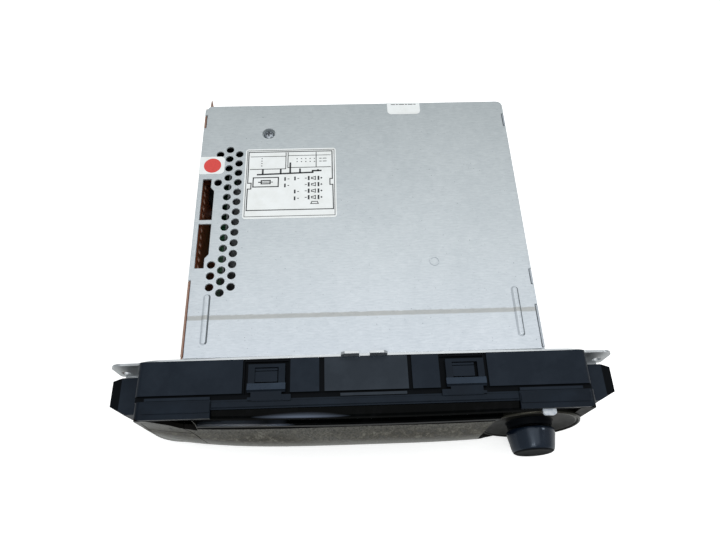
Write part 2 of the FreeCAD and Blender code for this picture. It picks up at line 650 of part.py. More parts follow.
def preset_area(i, grow):
    x0 = -76.0 if i < 3 else 35.0
    top = TOP - 38.0 - 6.2 * (i % 3)
    return box(x0 - grow, x0 + 21.0 + grow, -50, -20, top - 5.6 - grow, top + grow)


def display_area(grow):
    return box(-51.5 - grow, 31.5 + grow, -50, -20, TOP - 56.0 - grow, TOP - 38.0 + grow)


def bezel_area(grow):
    return box(-82.0 - grow, 103.0 + grow, -50, -20, TOP - 14.0 - grow, TOP)


def dial_pocket(grow):
    """Room for the dial ring: a seat behind and a funnel that opens to the front."""
    seat = cyl_y(-60, -27.2, DIAL_X, DIAL_Z, DIAL_SEAT_R + grow)
    r = DIAL_R + grow
    funnel = Part.makeCone(r, r + 2.1, 12.0, Vector(DIAL_X, -29.6, DIAL_Z), Vector(0, -1, 0))
    return on_dial(join([seat, funnel]))


def faceplate():
    """Silver shell with the round pocket of the dial, whose wall and floor are part of it."""
    well = on_dial(cyl_y(-45, -25.0, DIAL_X, DIAL_Z, DIAL_R + 3.4, 24))
    plate = OUTER.cut(ROOM.cut(well))
    cuts = [key_field(KEY_GAP), display_area(0), wedge_area(), bezel_area(0), dial_pocket(0.3)]
    cuts += [preset_area(i, KEY_GAP) for i in range(6)]
    cuts.append(on_dial(cyl_y(-40, -20, DIAL_X, DIAL_Z, 4.4, 12)))
    return plate.cut(cuts)


def key_cap(area, x, z):
    """Cap that follows the face, with a stem back to the rubber mat."""
    stem = box(x - 2, x + 2, -28, STEM_END, z - 1.5, z + 1.5)
    reach = OUTER.common(box(x - 2, x + 2, -50, -27.9, z - 1.5, z + 1.5))
    return join([SKIN.common(area), stem, reach])


def left_key_height(i):
    return TOP - (SEAMS[i] + SEAMS[i + 1]) / 2 if i else TOP - 16.2


def left_key(i):
    return key_cap(left_key_area(i), -94.0, left_key_height(i))


def preset_key_height(i):
    return TOP - 40.8 - 6.2 * (i % 3)


def preset_key(i):
    x = -65.5 if i < 3 else 45.5
    return key_cap(preset_area(i, 0), x, preset_key_height(i))


def display_lens():
    return SKIN.common(display_area(0))


def display_module():
    body = box(-53, 33, -29, -23, TOP - 55.2, TOP - 37)
    glass = box(-49, 29, -29.6, -28.5, TOP - 54, TOP - 40)
    legs = [box(-50 + i * 6.4, -49.4 + i * 6.4, -23, -16.7, TOP - 40, TOP - 39.5) for i in range(12)]
    return join([body, glass] + legs)


def slot_strip(side_view):
    """Sweep a side view of (y, depth) on a wide arc, so that the strip follows the face."""
    face = flat_face([Vector(BEZEL_MID, y, TOP - depth) for y, depth in side_view])
    half_turn = math.degrees(math.asin(96.0 / BEZEL_R))
    pivot = Vector(BEZEL_MID, BEZEL_R, 0)
    face.rotate(pivot, Vector(0, 0, 1), -half_turn)
    return face.revolve(pivot, Vector(0, 0, 1), 2 * half_turn)


def upper_lip():
    """Lip over the slot: a long shallow slope from the carrier down to a round nose."""
    back = MOUTH_Y + 0.8
    slope = [(back, 1.8), (-27.4, 2.0), (-28.9, 2.4)]
    nose = [(-30.0, 3.1), (-30.6, 4.2), (-30.5, 5.3), (-29.9, 6.0)]
    return slot_strip(slope + nose + [(back, 6.0)])


def lower_lip():
    """Lip under the slot, flush with the silver face below it."""
    return slot_strip([(-27.2, 11.0), (-31.0, 11.0), (-32.0, 11.4), (-32.5, 12.4), (-32.5, 14.0), (-27.2, 14.0)])


def slot_bezel():
    """Glossy strip with two rounded lips round the disc slot, a guide tunnel and lugs for the flap."""
    low, high = DISC_Z - SLOT_H / 2, DISC_Z + SLOT_H / 2
    left, right = DISC_X - SLOT_HALF, DISC_X + SLOT_HALF
    web = slot_strip([(-27.2, 4.0), (-29.4, 4.0), (-29.8, 12.5), (-27.2, 12.5)])
    body = join([upper_lip(), lower_lip(), web]).common(bezel_area(0))
    covered = [box(x0, x1, -40, 0, TOP - 2.6, TOP) for x0, x1 in ((-90, -73.2), (73.5, 110))]
    covered.append(box(-90, 110, MOUTH_Y - 0.1, 0, TOP - 2.6, TOP))
    tunnel = box(left - 1.5, right + 1.5, -28, FLAP_Y - 1.8, low - 1.5, high + 1.5)
    lug_low, lug_high = DISC_Z - 2, FLAP_Z + 1.2
    lugs = [box(x, x + 1.5, FLAP_Y - 1.8, FLAP_Y + 1.8, lug_low, lug_high) for x in (left - 3.2, right + 1.7)]
    arms = [box(x, x + 3.2, FLAP_Y - 3.4, FLAP_Y - 1.8, DISC_Z - 2, high + 1.5) for x in (left - 3.2, right)]
    body = join([body, tunnel] + lugs + arms)
    cuts = [box(left, right, -50, 0, low, high), dial_pocket(0.5), guide_space()] + covered
    cuts += [cyl_x(left - 5, right + 5, FLAP_Y, FLAP_Z, 0.8 + RUNNING, 8)]
    return body.cut(cuts)


def dust_flap():
    """Door behind the slot: a thin blade that hangs from a long pin."""
    left, right = DISC_X - SLOT_HALF, DISC_X + SLOT_HALF
    pin = cyl_x(left - 3.2, right + 3.2, FLAP_Y, FLAP_Z, 0.8)
    barrel = cyl_x(left + 1, right - 1, FLAP_Y, FLAP_Z, 1.3, 8)
    blade = box(left + 1, right - 1, FLAP_Y - 0.5, FLAP_Y + 0.5, DISC_Z - 3.0, FLAP_Z)
    return join([pin, barrel, blade])


def guide_space():
    return box(84.6, 91.0, -32.1, -26, TOP - 4.1, TOP - 2.6)


def light_guide():
    return round_edges(guide_space(), 1.5, lambda e: runs_along(e, Vector(0, 0, 1)) and middle(e).y < -32)


def front_board():
    board = box(-104, 104, FRONT_BOARD_Y, FRONT_BOARD_Y + BOARD_T, FASCIA_BASE + 5, TOP - 15.5)
    board = board.common(front_view(-PLASTIC - 1.2))
    return board.cut([cyl_y(-20, -10, x, z, 1.5, HEX) for x, z in PANEL_SCREWS])


def keypad_mat():
    """Silicone mat in two pieces with a dome under every key."""
    back = FRONT_BOARD_Y - 0.05
    left = box(-104, -53.5, back - 0.8, back, TOP - 55, TOP - 16)
    holes = [cyl_y(-20, -10, x, z, 3.0, HEX) for x, z in PANEL_SCREWS]
    left = left.cut([box(-78, -50, back - 1, back + 1, TOP - 35.5, TOP - 10)] + holes)
    left = left.common(front_view(-PLASTIC - 1.6))
    right = box(33.5, 58, back - 0.8, back, TOP - 55, TOP - 37)
    stems = [(-94.0, left_key_height(i) if i else TOP - 17.5) for i in range(4)]
    stems += [(-65.5, preset_key_height(i)) for i in range(3)]
    sides = []
    for sheet, places in ((left, stems), (right, [(45.5, preset_key_height(i)) for i in range(3)])):
        domes = [cyl_y(back - 2.0, back - 0.8, x, z, 2.2, HEX) for x, z in places]
        sides.append(join([sheet] + domes))
    return Part.makeCompound(sides)


def dial_ring():
    """Dished ring with a raised rim and a collar round the knob's shaft."""
    y = DIAL_Y
    floor = y + 1.8
    collar_end = y - KNOB_STANDOFF + 0.8
    seat = cyl_y(-29.8, -27.2, DIAL_X, DIAL_Z, DIAL_SEAT_R, 36)
    rim = cyl_y(y, -29.8, DIAL_X, DIAL_Z, DIAL_R, 36).cut(cyl_y(y - 1, floor, DIAL_X, DIAL_Z, DIAL_R - 2.4, 36))
    collar = cyl_y(collar_end, floor, DIAL_X, DIAL_Z, 11.6, 24)
    return on_dial(join([seat, rim, collar]).cut(cyl_y(-60, -20, DIAL_X, DIAL_Z, 4.2, 12)))


def volume_knob():
    """Tapered knob with a bevelled front edge and a blind hole for the shaft."""
    y0 = DIAL_Y - KNOB_STANDOFF
    bevel = 1.2
    forward = Vector(0, -1, 0)
    side = tapered(Vector(DIAL_X, y0, DIAL_Z), forward, KNOB_L - bevel, KNOB_BASE_R, KNOB_TIP_R, 24)
    rim = Vector(DIAL_X, y0 - KNOB_L + bevel, DIAL_Z)
    edge = tapered(rim, forward, bevel, KNOB_TIP_R, KNOB_TIP_R - bevel, 24)
    bore = cyl_y(y0 - KNOB_L + 3, y0 + 1, DIAL_X, DIAL_Z, SHAFT_R)
    return on_dial(join([side, edge]).cut(bore))


def encoder_shaft():
    y1 = DIAL_Y - KNOB_STANDOFF - KNOB_L + 3.0
    return on_dial(cyl_y(y1, -22.3, DIAL_X, DIAL_Z, SHAFT_R))


def encoder_body():
    """Turning switch with a threaded bush, standing on the front board."""
    case = box(DIAL_X - 6.5, DIAL_X + 6.5, -23.0, -18.0, DIAL_Z - 6.5, DIAL_Z + 6.5)
    bush = cyl_y(-27.0, -23.0, DIAL_X, DIAL_Z, 4.0, 12)
    bore = cyl_y(-30, -18.9, DIAL_X, DIAL_Z, SHAFT_R + RUNNING, 12)
    body = on_dial(join([case, bush]).cut(bore))
    feet = [box(DIAL_X + s, DIAL_X + s + 1, -18.5, FRONT_BOARD_Y, DIAL_Z - 6, DIAL_Z - 5) for s in (-5, 0, 4)]
    return join([body] + [foot.cut(on_dial(bore)) for foot in feet])


def encoder_plunger():
    """Push contact behind the shaft."""
    return on_dial(cyl_y(-22.2, -20.2, DIAL_X, DIAL_Z, SHAFT_R, 12))


# Disc drive

def gear_x(teeth, x0, x1, y, z, bore):
    """Small moulded gear on an axis along X, with pointed teeth."""
    pitch_r = teeth * MODULE / 2
    tip_r, root_r = pitch_r + MODULE * 0.8, pitch_r - MODULE * 1.2
    step = 2 * math.pi / teeth
    points = []
    for i in range(teeth):
        for share, r in ((-0.5, root_r), (0.0, tip_r)):
            a = (i + share) * step
            points.append((y + r * math.cos(a), z + r * math.sin(a)))
    gear = prism_x(points, x0, x1)
    return gear.cut(cyl_x(x0 - 1, x1 + 1, y, z, bore)) if bore else gear


def turned_x(shape, y, z, angle):
    turned = shape.copy()
    turned.rotate(Vector(0, y, z), Vector(1, 0, 0), angle)
    return turned


def rod_notch(y, half):
    """Notch that is open at the top, for a rod or shaft that is laid into it."""
    return box(0, 66, y - half, y + half, ROD_Z - half, ROD_Z + 4)


def deck_frame():
    """Pressed base plate of the drive with side walls, windows and bearing lugs."""
    front_edge = [(DECK_LEFT, DECK_FRONT), (DECK_RIGHT, DECK_FRONT)]
    plate = prism_z(front_edge + [(DECK_RIGHT, DECK_REAR), (-30, DECK_REAR), (DECK_LEFT, 112)], DECK_Z, DECK_Z + 1)
    left = box(DECK_LEFT, DECK_LEFT + 1, DECK_FRONT, 112, DECK_Z, DECK_TOP)
    right = box(DECK_RIGHT - 1, DECK_RIGHT, DECK_FRONT, DECK_REAR, DECK_Z, DECK_TOP)
    rear = box(-30, DECK_RIGHT, DECK_REAR - 1, DECK_REAR, DECK_Z, DECK_Z + 6)
    lugs = []
    for y in (DISC_Y - ROD_OFFSET, DISC_Y + ROD_OFFSET):
        for x in (1.0, 62.0):
            lugs.append(box(x, x + 2, y - 3, y + 3, DECK_Z, ROD_Z + 2.8))
    screw_y = DISC_Y + SCREW_OFFSET
    for x in (1.0, 56.0):
        lugs.append(box(x, x + 2, screw_y - 2.6, screw_y + 2.6, DECK_Z, ROD_Z + 2.6))
    lugs.append(box(62.5, 64, CRADLE_Y - 3, CRADLE_Y + 3, DECK_Z, CRADLE_Z + 3))
    for s in (-1, 1):
        x = DISC_X + s * 17
        lugs.append(box(x - 0.75, x + 0.75, CLAMP_Y - 3, CLAMP_Y + 3, DECK_Z, DISC_Z + 5))
    motor_y = screw_y + 9.0
    motor_plate = box(56, 57.5, motor_y - 5.5, motor_y + 6, DECK_Z, ROD_Z + 6.5)
    frame = join([plate, left, right, rear, motor_plate] + lugs)
    cuts = [
        box(DISC_X + 14, 61, DISC_Y - 17, DISC_Y + 17, DECK_Z - 1, DECK_Z + 2),
        box(57.9, 61.2, DISC_Y + 22, motor_y + 6, DECK_Z - 1, DECK_Z + 2),
        box(53.5, 59.6, 7.5, 21, DECK_Z - 1, DECK_Z + 2),
        cyl_x(55, 59, motor_y, ROD_Z, 1.6, 8),
        rod_notch(screw_y, ROD_R + RUNNING),
        cyl_x(DECK_LEFT - 1, DECK_LEFT + 2, CRADLE_Y, CRADLE_Z, 1.5 + RUNNING, 12),
        cyl_x(62, 65, CRADLE_Y, CRADLE_Z, 1.5 + RUNNING, 12),
        cyl_x(DISC_X - 20, DISC_X + 20, CLAMP_Y, DISC_Z + 3.2, 1.2 + RUNNING, 12),
    ]
    for y in (DISC_Y - ROD_OFFSET, DISC_Y + ROD_OFFSET):
        cuts.append(rod_notch(y, ROD_R))
    return frame.cut(cuts)


def disc_guide():
    """Upper guide over the front of the disc path, with ribs that keep the disc's middle clear."""
    plate = box(DECK_LEFT, DECK_RIGHT, DECK_FRONT, 48, DECK_TOP, DECK_TOP + 1)
    cut = cyl_z(DECK_TOP - 1, DECK_TOP + 2, DISC_X, DISC_Y, 36, 24)
    ribs = [box(x - 1, x + 1, 8, 40, DECK_TOP + 1, DECK_TOP + 2.2) for x in (DISC_X - 52, DISC_X + 52)]
    ribs.append(box(DECK_LEFT + 2, DECK_RIGHT - 2, 8, 9.5, DECK_TOP + 1, DECK_TOP + 2.2))
    lip = prism_x([(DECK_FRONT, DECK_TOP), (DECK_FRONT, DECK_TOP + 1), (3.2, DECK_TOP + 2.4), (3.2, DECK_TOP + 1.4)],
                  DISC_X - 63, DISC_X + 63)
    notch = box(58.5, 79.5, 11, 31, DECK_TOP - 1, DECK_TOP + 4)
    return join([plate.cut(cut), lip] + ribs).cut(notch)


def deck_rails():
    """Two rails across the chassis that carry the dampers, hooked to the front and rear walls."""
    z = DECK_Z - 7
    y0, y1 = FRONT_WALL + SHEET, REAR_WALL
    rails = []
    for x0, x_flange in ((-74.0, -63.0), (70.0, 70.0)):
        rail = box(x0, x0 + 12, y0, y1, z, z + 1)
        ends = [box(x0, x0 + 12, y, y + SHEET, z - 6, z + 1) for y in (y0, y1 - SHEET)]
        flange = box(x_flange, x_flange + 1, 8, 140, z - 3, z + 1)
        rails.append(join([rail, flange] + ends))
    return Part.makeCompound(rails)


def damper_places():
    return [(-68, 14), (-68, 104), (76, 14), (76, 134)]


def deck_dampers():
    """Four fluid filled rubber mounts with a waist."""
    z = DECK_Z - 6
    mounts = []
    for x, y in damper_places():
        parts = [cyl_z(z, z + 6, x, y, 3.6, HEX)]
        parts += [cyl_z(low, low + 2, x, y, 5.0, HEX) for low in (z, z + 4)]
        mounts.append(join(parts))
    return Part.makeCompound(mounts)


def spindle_motor():
    """Flat motor under the disc, with its shaft."""
    can = cyl_z(DECK_Z + 1, DISC_Z - 3.0, DISC_X, DISC_Y, 11.0, 20)
    shaft = cyl_z(DISC_Z - 3.2, DISC_Z - 1.2, DISC_X, DISC_Y, 1.0, 12)
    return join([can, shaft])


def turntable():
    """Table with a centring boss."""
    x, y = DISC_X, DISC_Y
    table = cyl_z(DISC_Z - 2.6, DISC_Z - DISC_T / 2, x, y, 13.5, 24)
    boss = cyl_z(DISC_Z - DISC_T / 2, DISC_Z + 1.3, x, y, 7.0, 16)
    return join([table, boss]).cut(cyl_z(DISC_Z - 3, DISC_Z - 1.1, x, y, 1.1))


def clamp_arm():
    """Flat arm from the rear pivot to the middle of the disc, with turned up edges."""
    z = DISC_Z + 2.9
    tip, root = 15.5, 15.8
    half_plan = [(8, DISC_Y - tip), (tip, DISC_Y - 8), (root, CLAMP_Y)]
    plan = [(DISC_X + x, y) for x, y in half_plan] + [(DISC_X - x, y) for x, y in reversed(half_plan)]
    plate = prism_z(plan, z, z + 0.8)
    window = box(DISC_X - 9, DISC_X + 9, DISC_Y + 24, CLAMP_Y - 12, z - 1, z + 2)
    edges = [box(x - 0.5, x + 0.5, DISC_Y, CLAMP_Y, z, z + 2.0) for x in (DISC_X - 15.3, DISC_X + 15.3)]
    pin = cyl_x(DISC_X - 18.5, DISC_X + 18.5, CLAMP_Y, DISC_Z + 3.2, 1.2)
    barrel = cyl_x(DISC_X - 15.8, DISC_X + 15.8, CLAMP_Y, DISC_Z + 3.2, 1.7, 8)
    arm = join([plate, pin, barrel] + edges)
    return arm.cut([window, cyl_z(z - 1, z + 3, DISC_X, DISC_Y, 7.0, 12)])


def clamp_puck():
    """Clamping disc that hangs in the arm's hole by its collar."""
    z = DISC_Z + 0.8
    base = cyl_z(z, z + 1.9, DISC_X, DISC_Y, 12.5, 24)
    neck = cyl_z(z + 1.9, z + 3.2, DISC_X, DISC_Y, 6.3, 12)
    collar = cyl_z(z + 3.1, z + 3.9, DISC_X, DISC_Y, 9.3, 12)
    recess = cyl_z(z - 1, z + 0.9, DISC_X, DISC_Y, 7.9, 16)
    dimple = cyl_z(z + 3.2, z + 5, DISC_X, DISC_Y, 1.2)
    return join([base, neck, collar]).cut([recess, dimple])


def pickup_sled():
    """Carriage of the laser: body, lens, a bored side for the front rod and a fork for the rear one."""
    x0, x1 = DISC_X + 15.0, DISC_X + 35.0
    y0, y1 = DISC_Y - ROD_OFFSET, DISC_Y + ROD_OFFSET
    body = box(x0, x1, DISC_Y - 15, DISC_Y + 15, DECK_Z + 1.6, DISC_Z - 3.6)
    body = round_edges(body, 1.2, lambda e: runs_along(e, Vector(0, 0, 1)))
    bearing = box(x0, x1, y0 - 2.7, DISC_Y - 14, ROD_Z - 2.3, ROD_Z + 2.7)
    fork = box(x0 + 5, x1 - 5, DISC_Y + 14, y1 + 2.0, ROD_Z - 2.6, ROD_Z + 2.6)
    fork = fork.cut(box(x0, x1, y1 - 1.6, y1 + 3, ROD_Z - 1.55, ROD_Z + 1.55))
    reach = DISC_Y + SCREW_OFFSET - ROD_R - 0.3
    arm = box(x0 + 7, x1 - 7, y1 + 1.0, reach, ROD_Z + 1.6, ROD_Z + 2.6)
    nut = box(x0 + 7, x1 - 7, reach - 1.2, reach, ROD_Z - 1.4, ROD_Z + 2.6)
    lens = cyl_z(DISC_Z - 3.6, DISC_Z - 2.6, DISC_X + SLED_LENS, DISC_Y, 2.8, 12)
    bezel = cyl_z(DISC_Z - 3.7, DISC_Z - 3.0, DISC_X + SLED_LENS, DISC_Y, 4.4, 12)
    sled = join([body, bearing, fork, arm, nut, bezel, lens])
    return sled.cut(cyl_x(x0 - 1, x1 + 1, y0, ROD_Z, ROD_R + RUNNING))


def guide_rods():
    rods = [cyl_x(1.0, 64.0, DISC_Y + s * ROD_OFFSET, ROD_Z, ROD_R) for s in (-1, 1)]
    return Part.makeCompound(rods)


def leadscrew():
    """Screw that drives the sled, with its gear at the right end."""
    y = DISC_Y + SCREW_OFFSET
    core = cyl_x(0.6, 60.6, y, ROD_Z, ROD_R)
    gear = gear_x(24, 58.4, 60.4, y, ROD_Z, 0)
    return join([core, gear])


def sled_motor():
    """Small motor of the sled, flattened above and below."""
    y = DISC_Y + SCREW_OFFSET + 9.0
    can = cyl_x(40, 56, y, ROD_Z, 5.6).common(box(40, 56, y - 8, y + 8, ROD_Z - 2.9, ROD_Z + 4.9))
    return can.cut(cyl_x(50, 57, y, ROD_Z, 0.55, 8))


def sled_pinion():
    y = DISC_Y + SCREW_OFFSET + 9.0
    gear = gear_x(12, 58.4, 60.4, y, ROD_Z, 0)
    gear = turned_x(gear, y, ROD_Z, 15.0)
    return join([gear, cyl_x(51, 58.4, y, ROD_Z, 0.5)])


def roller_cradle():
    """Swinging carrier of the loading roller: a base plate with three arms and two pivot pins."""
    base = box(-71, 60.5, 19, 33, DECK_Z + 1.8, DECK_Z + 2.8)
    arms = [box(x, x + 1, 11, 33, DECK_Z + 1.8, ROLLER_Z + 2.6) for x in (-71, 51.5)]
    motor_arm = box(59.5, 60.5, 13, 33, DECK_Z + 1.8, ROLLER_Z + 7.4)
    pins = [cyl_x(-73.6, -70.5, CRADLE_Y, CRADLE_Z, 1.5), cyl_x(60, 63.9, CRADLE_Y, CRADLE_Z, 1.5)]
    cradle = join([base, motor_arm] + arms + pins)
    holes = [cyl_x(-73, 53, ROLLER_Y, ROLLER_Z, 1.2 + RUNNING, 12), cyl_x(59, 61, PINION_Y, PINION_Z, 1.2, 8)]
    return cradle.cut(holes)


def loading_roller():
    """Rubber roller that narrows towards its middle, on a steel shaft with its gear."""
    halves = []
    for s in (-1, 1):
        end = DISC_X + s * 57
        halves.append(tapered(Vector(DISC_X, ROLLER_Y, ROLLER_Z), Vector(s, 0, 0), 53.0, 2.3, 2.9, 12))
        halves.append(cyl_x(min(end, end - s * 4), max(end, end - s * 4), ROLLER_Y, ROLLER_Z, 2.9, 12))
    shaft = cyl_x(-72.5, 58.2, ROLLER_Y, ROLLER_Z, 1.2)
    gear = gear_x(18, 55.6, 57.6, ROLLER_Y, ROLLER_Z, 0)
    return join(halves + [shaft, gear])


PINION_TURN = 30.0
PINION_Y = ROLLER_Y + (18 + 10) * MODULE / 2 * math.cos(math.radians(PINION_TURN))
PINION_Z = ROLLER_Z + (18 + 10) * MODULE / 2 * math.sin(math.radians(PINION_TURN))


def loading_pinion():
    """Pinion turned so that a gap faces the tooth of the roller's gear."""
    gear = gear_x(10, 55.6, 57.6, PINION_Y, PINION_Z, 0)
    meshing = PINION_TURN + 180.0 + 18.0 + (0.0 - PINION_TURN) * -1.8
    gear = turned_x(gear, PINION_Y, PINION_Z, meshing % 36.0)
    return join([gear, cyl_x(57.6, 66, PINION_Y, PINION_Z, 0.8)])


def loading_motor():
    can = cyl_x(60.5, 76.5, PINION_Y, PINION_Z, 5.0, 12)
    return can.cut(cyl_x(60, 66.2, PINION_Y, PINION_Z, 0.85, 8))


# Labels

def wiring_label():
    return box(-64, -12, 78.2, 125.2, TOP, TOP + 0.2)


def seal_sticker():
    """Round cornered sticker that is folded over the left edge."""
    top = box(-SIDE - 0.2, -75.8, 108.5, 120.5, TOP, TOP + 0.2)
    side = box(-SIDE - 0.2, -SIDE, 108.5, 120.5, TOP - 9, TOP)
    return join([top, side])


def rear_label():
    top = box(19.7, 39.5, 149.3, CHASSIS_D + 0.2, TOP, TOP + 0.2)
    side = box(19.7, 39.5, CHASSIS_D, CHASSIS_D + 0.2, TOP - 8, TOP)
    return join([top, side])


def save(name, shape):
    shape.exportStep("parts/" + name + ".step")
    state = "ok" if shape.isValid() and shape.Volume > 0 else "BAD"
    print(name, state, len(shape.Solids), round(shape.Volume / 1000, 2))


def main():
    os.makedirs("parts", exist_ok=True)
    pieces = {
        "top_cover": top_cover, "chassis_tub": chassis_tub, "side_plate": side_plate, "main_board": main_board,
        "chassis_screws": chassis_screws, "connector_block": connector_block, "connector_pins": connector_pins,
        "blade_fuse": blade_fuse, "aerial_socket": aerial_socket, "tuner_can": tuner_can,
        "board_components": board_components, "amplifier_chip": amplifier_chip, "amplifier_clamp": amplifier_clamp,
        "cover_screw": cover_screw, "front_bracket": front_bracket, "deck_rails": deck_rails,
        "front_frame": front_frame, "face_carrier": face_carrier, "faceplate": faceplate,
        "display_lens": display_lens, "display_module": display_module, "slot_bezel": slot_bezel,
        "dust_flap": dust_flap, "light_guide": light_guide, "front_board": front_board, "keypad_mat": keypad_mat,
        "dial_ring": dial_ring, "volume_knob": volume_knob, "encoder_shaft": encoder_shaft,
        "encoder_body": encoder_body, "encoder_plunger": encoder_plunger, "deck_frame": deck_frame,
        "disc_guide": disc_guide, "deck_dampers": deck_dampers, "spindle_motor": spindle_motor,
        "turntable": turntable, "clamp_arm": clamp_arm, "clamp_puck": clamp_puck, "pickup_sled": pickup_sled,
        "guide_rods": guide_rods, "leadscrew": leadscrew, "sled_motor": sled_motor, "sled_pinion": sled_pinion,
        "roller_cradle": roller_cradle, "loading_roller": loading_roller, "loading_pinion": loading_pinion,
        "loading_motor": loading_motor, "wiring_label": wiring_label, "seal_sticker": seal_sticker,
        "rear_label": rear_label,
    }
    for name, make in pieces.items():
        save(name, make())
    for i in range(4):
        save("left_key_%d" % (i + 1), left_key(i))
    for i in range(6):
        save("preset_key_%d" % (i + 1), preset_key(i))


main()
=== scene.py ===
import json
from math import cos, pi, radians, sin

import bmesh
import bpy
from mathutils import Matrix, Vector
from mathutils.bvhtree import BVHTree


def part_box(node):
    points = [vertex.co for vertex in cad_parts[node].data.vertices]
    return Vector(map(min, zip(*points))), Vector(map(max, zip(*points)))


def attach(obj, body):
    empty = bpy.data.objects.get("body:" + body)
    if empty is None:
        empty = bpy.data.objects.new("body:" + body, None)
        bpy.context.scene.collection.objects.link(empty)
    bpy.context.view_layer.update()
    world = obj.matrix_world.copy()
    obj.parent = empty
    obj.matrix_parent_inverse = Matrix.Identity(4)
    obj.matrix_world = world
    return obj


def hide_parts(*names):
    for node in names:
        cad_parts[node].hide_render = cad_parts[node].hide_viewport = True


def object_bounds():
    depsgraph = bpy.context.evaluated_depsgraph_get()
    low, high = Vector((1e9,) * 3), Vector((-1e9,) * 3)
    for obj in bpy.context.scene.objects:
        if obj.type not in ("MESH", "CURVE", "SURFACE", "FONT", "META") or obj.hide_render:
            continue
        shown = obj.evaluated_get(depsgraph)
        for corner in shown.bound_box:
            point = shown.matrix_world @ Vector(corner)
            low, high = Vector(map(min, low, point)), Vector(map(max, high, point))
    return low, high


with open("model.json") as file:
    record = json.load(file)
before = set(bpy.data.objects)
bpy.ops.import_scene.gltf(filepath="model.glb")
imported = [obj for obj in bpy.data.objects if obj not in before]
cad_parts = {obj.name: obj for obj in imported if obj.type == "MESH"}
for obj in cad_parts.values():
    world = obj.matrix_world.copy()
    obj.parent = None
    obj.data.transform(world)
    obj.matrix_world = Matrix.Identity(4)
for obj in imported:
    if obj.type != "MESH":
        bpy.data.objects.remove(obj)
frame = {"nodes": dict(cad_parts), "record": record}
cad_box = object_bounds()
scene = bpy.context.scene

# Lengths are in millimetres and turned to metres by MM. Only the studio's are in metres.
MM = 0.001
Y, Z = Vector((0, 1, 0)), Vector((0, 0, 1))
BODY_OF = {node: body for body, nodes in frame["record"]["behaviour"]["bodies"].items() for node in nodes}


def span(node):
    """Lowest and highest corner of a CAD node in millimetres."""
    low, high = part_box(node)
    return Vector(low) / MM, Vector(high) / MM


# Camera, at the photograph's place over the plastic front: focal length in pixels, angles in degrees
PHOTO_W = 720
CAMERA_AT = (-7.8, -87.0, 293.6)
FOCAL_PX = 581.9
LOOK_DOWN = 64.27
LOOK_RIGHT = 3.18
ROLL = 1.4


def photo_camera():
    data = bpy.data.cameras.new("photo_camera")
    data.sensor_width = 36.0
    data.lens = FOCAL_PX * data.sensor_width / PHOTO_W
    data.clip_start = 0.01
    camera = bpy.data.objects.new("photo_camera", data)
    scene.collection.objects.link(camera)
    turn = Matrix.Rotation(radians(-LOOK_RIGHT), 4, "Z")
    turn = turn @ Matrix.Rotation(radians(90 - LOOK_DOWN), 4, "X")
    turn = turn @ Matrix.Rotation(radians(ROLL), 4, "Z")
    camera.matrix_world = Matrix.Translation(Vector(CAMERA_AT) * MM) @ turn
    scene.camera = camera


# Nodes and colours

def linear(hex_value):
    """Linear colour of an sRGB hex value."""
    channels = [int(hex_value[i:i + 2], 16) / 255 for i in (1, 3, 5)]
    return [c / 12.92 if c <= 0.04045 else ((c + 0.055) / 1.055) ** 2.4 for c in channels] + [1.0]


def add(tree, kind, settings=None, **inputs):
    """Add a node. An input takes a value or a socket; one named i3 is the input number 3."""
    node = tree.nodes.new("ShaderNode" + kind)
    for name, value in (settings or {}).items():
        setattr(node, name, value)
    for name, value in inputs.items():
        socket = node.inputs[int(name[1:])] if name[1:].isdigit() else node.inputs[name.replace("_", " ")]
        if isinstance(value, bpy.types.NodeSocket):
            tree.links.new(value, socket)
        else:
            socket.default_value = value
    return node


def start(name, colour, rough, metal=0.0, **sockets):
    """A material with its tree, its shader and the place on the object in metres."""
    material = bpy.data.materials.new(name)
    material.use_nodes = True
    tree = material.node_tree
    shader = tree.nodes["Principled BSDF"]
    shader.inputs["Base Color"].default_value = linear(colour)
    shader.inputs["Roughness"].default_value = rough
    shader.inputs["Metallic"].default_value = metal
    for key, value in sockets.items():
        shader.inputs[key.replace("_", " ")].default_value = value
    place = add(tree, "TexCoord").outputs["Object"]
    return material, tree, shader, place


def ramp(tree, value, stops):
    """Colour or grey stops over a value: the stops are (position, hex) pairs."""
    node = add(tree, "ValToRGB", i0=value)
    points = node.color_ramp.elements
    while len(points) < len(stops):
        points.new(0.5)
    for point, (position, colour) in zip(points, stops):
        point.position = position
        point.color = linear(colour)
    return node.outputs["Color"]


def per_mm(size):
    """Texture scale for a feature of that size."""
    return 1.0 / (size * MM)


def stretched(tree, place, along_x):
    """The place with X scaled, so that a pattern on it is drawn out along X."""
    return add(tree, "Mapping", Vector=place, Scale=(along_x, 1.0, 1.0)).outputs[0]


def noise(tree, place, size, detail, rough=0.5):
    """Noise whose largest features have that size."""
    return add(tree, "TexNoise", Vector=place, Scale=per_mm(size), Detail=detail, Roughness=rough).outputs[0]


def remap(tree, value, low, high, to_low, to_high):
    """Goes evenly from to_low to to_high while the value goes from low to high."""
    return add(tree, "MapRange", Value=value, i1=low, i2=high, i3=to_low, i4=to_high).outputs[0]


def work_out(tree, operation, *values):
    """Result of one sum on values and sockets."""
    numbered = {"i%d" % i: value for i, value in enumerate(values)}
    return add(tree, "Math", {"operation": operation}, **numbered).outputs[0]


def blended(tree, amount, base, other, blend="MIX"):
    """Colour base taken towards another colour by that amount."""
    settings = {"data_type": "RGBA", "blend_type": blend}
    return add(tree, "Mix", settings, i0=amount, i6=base, i7=other).outputs[2]


def darkened(tree, amount, base, other):
    return blended(tree, amount, base, other, "MULTIPLY")


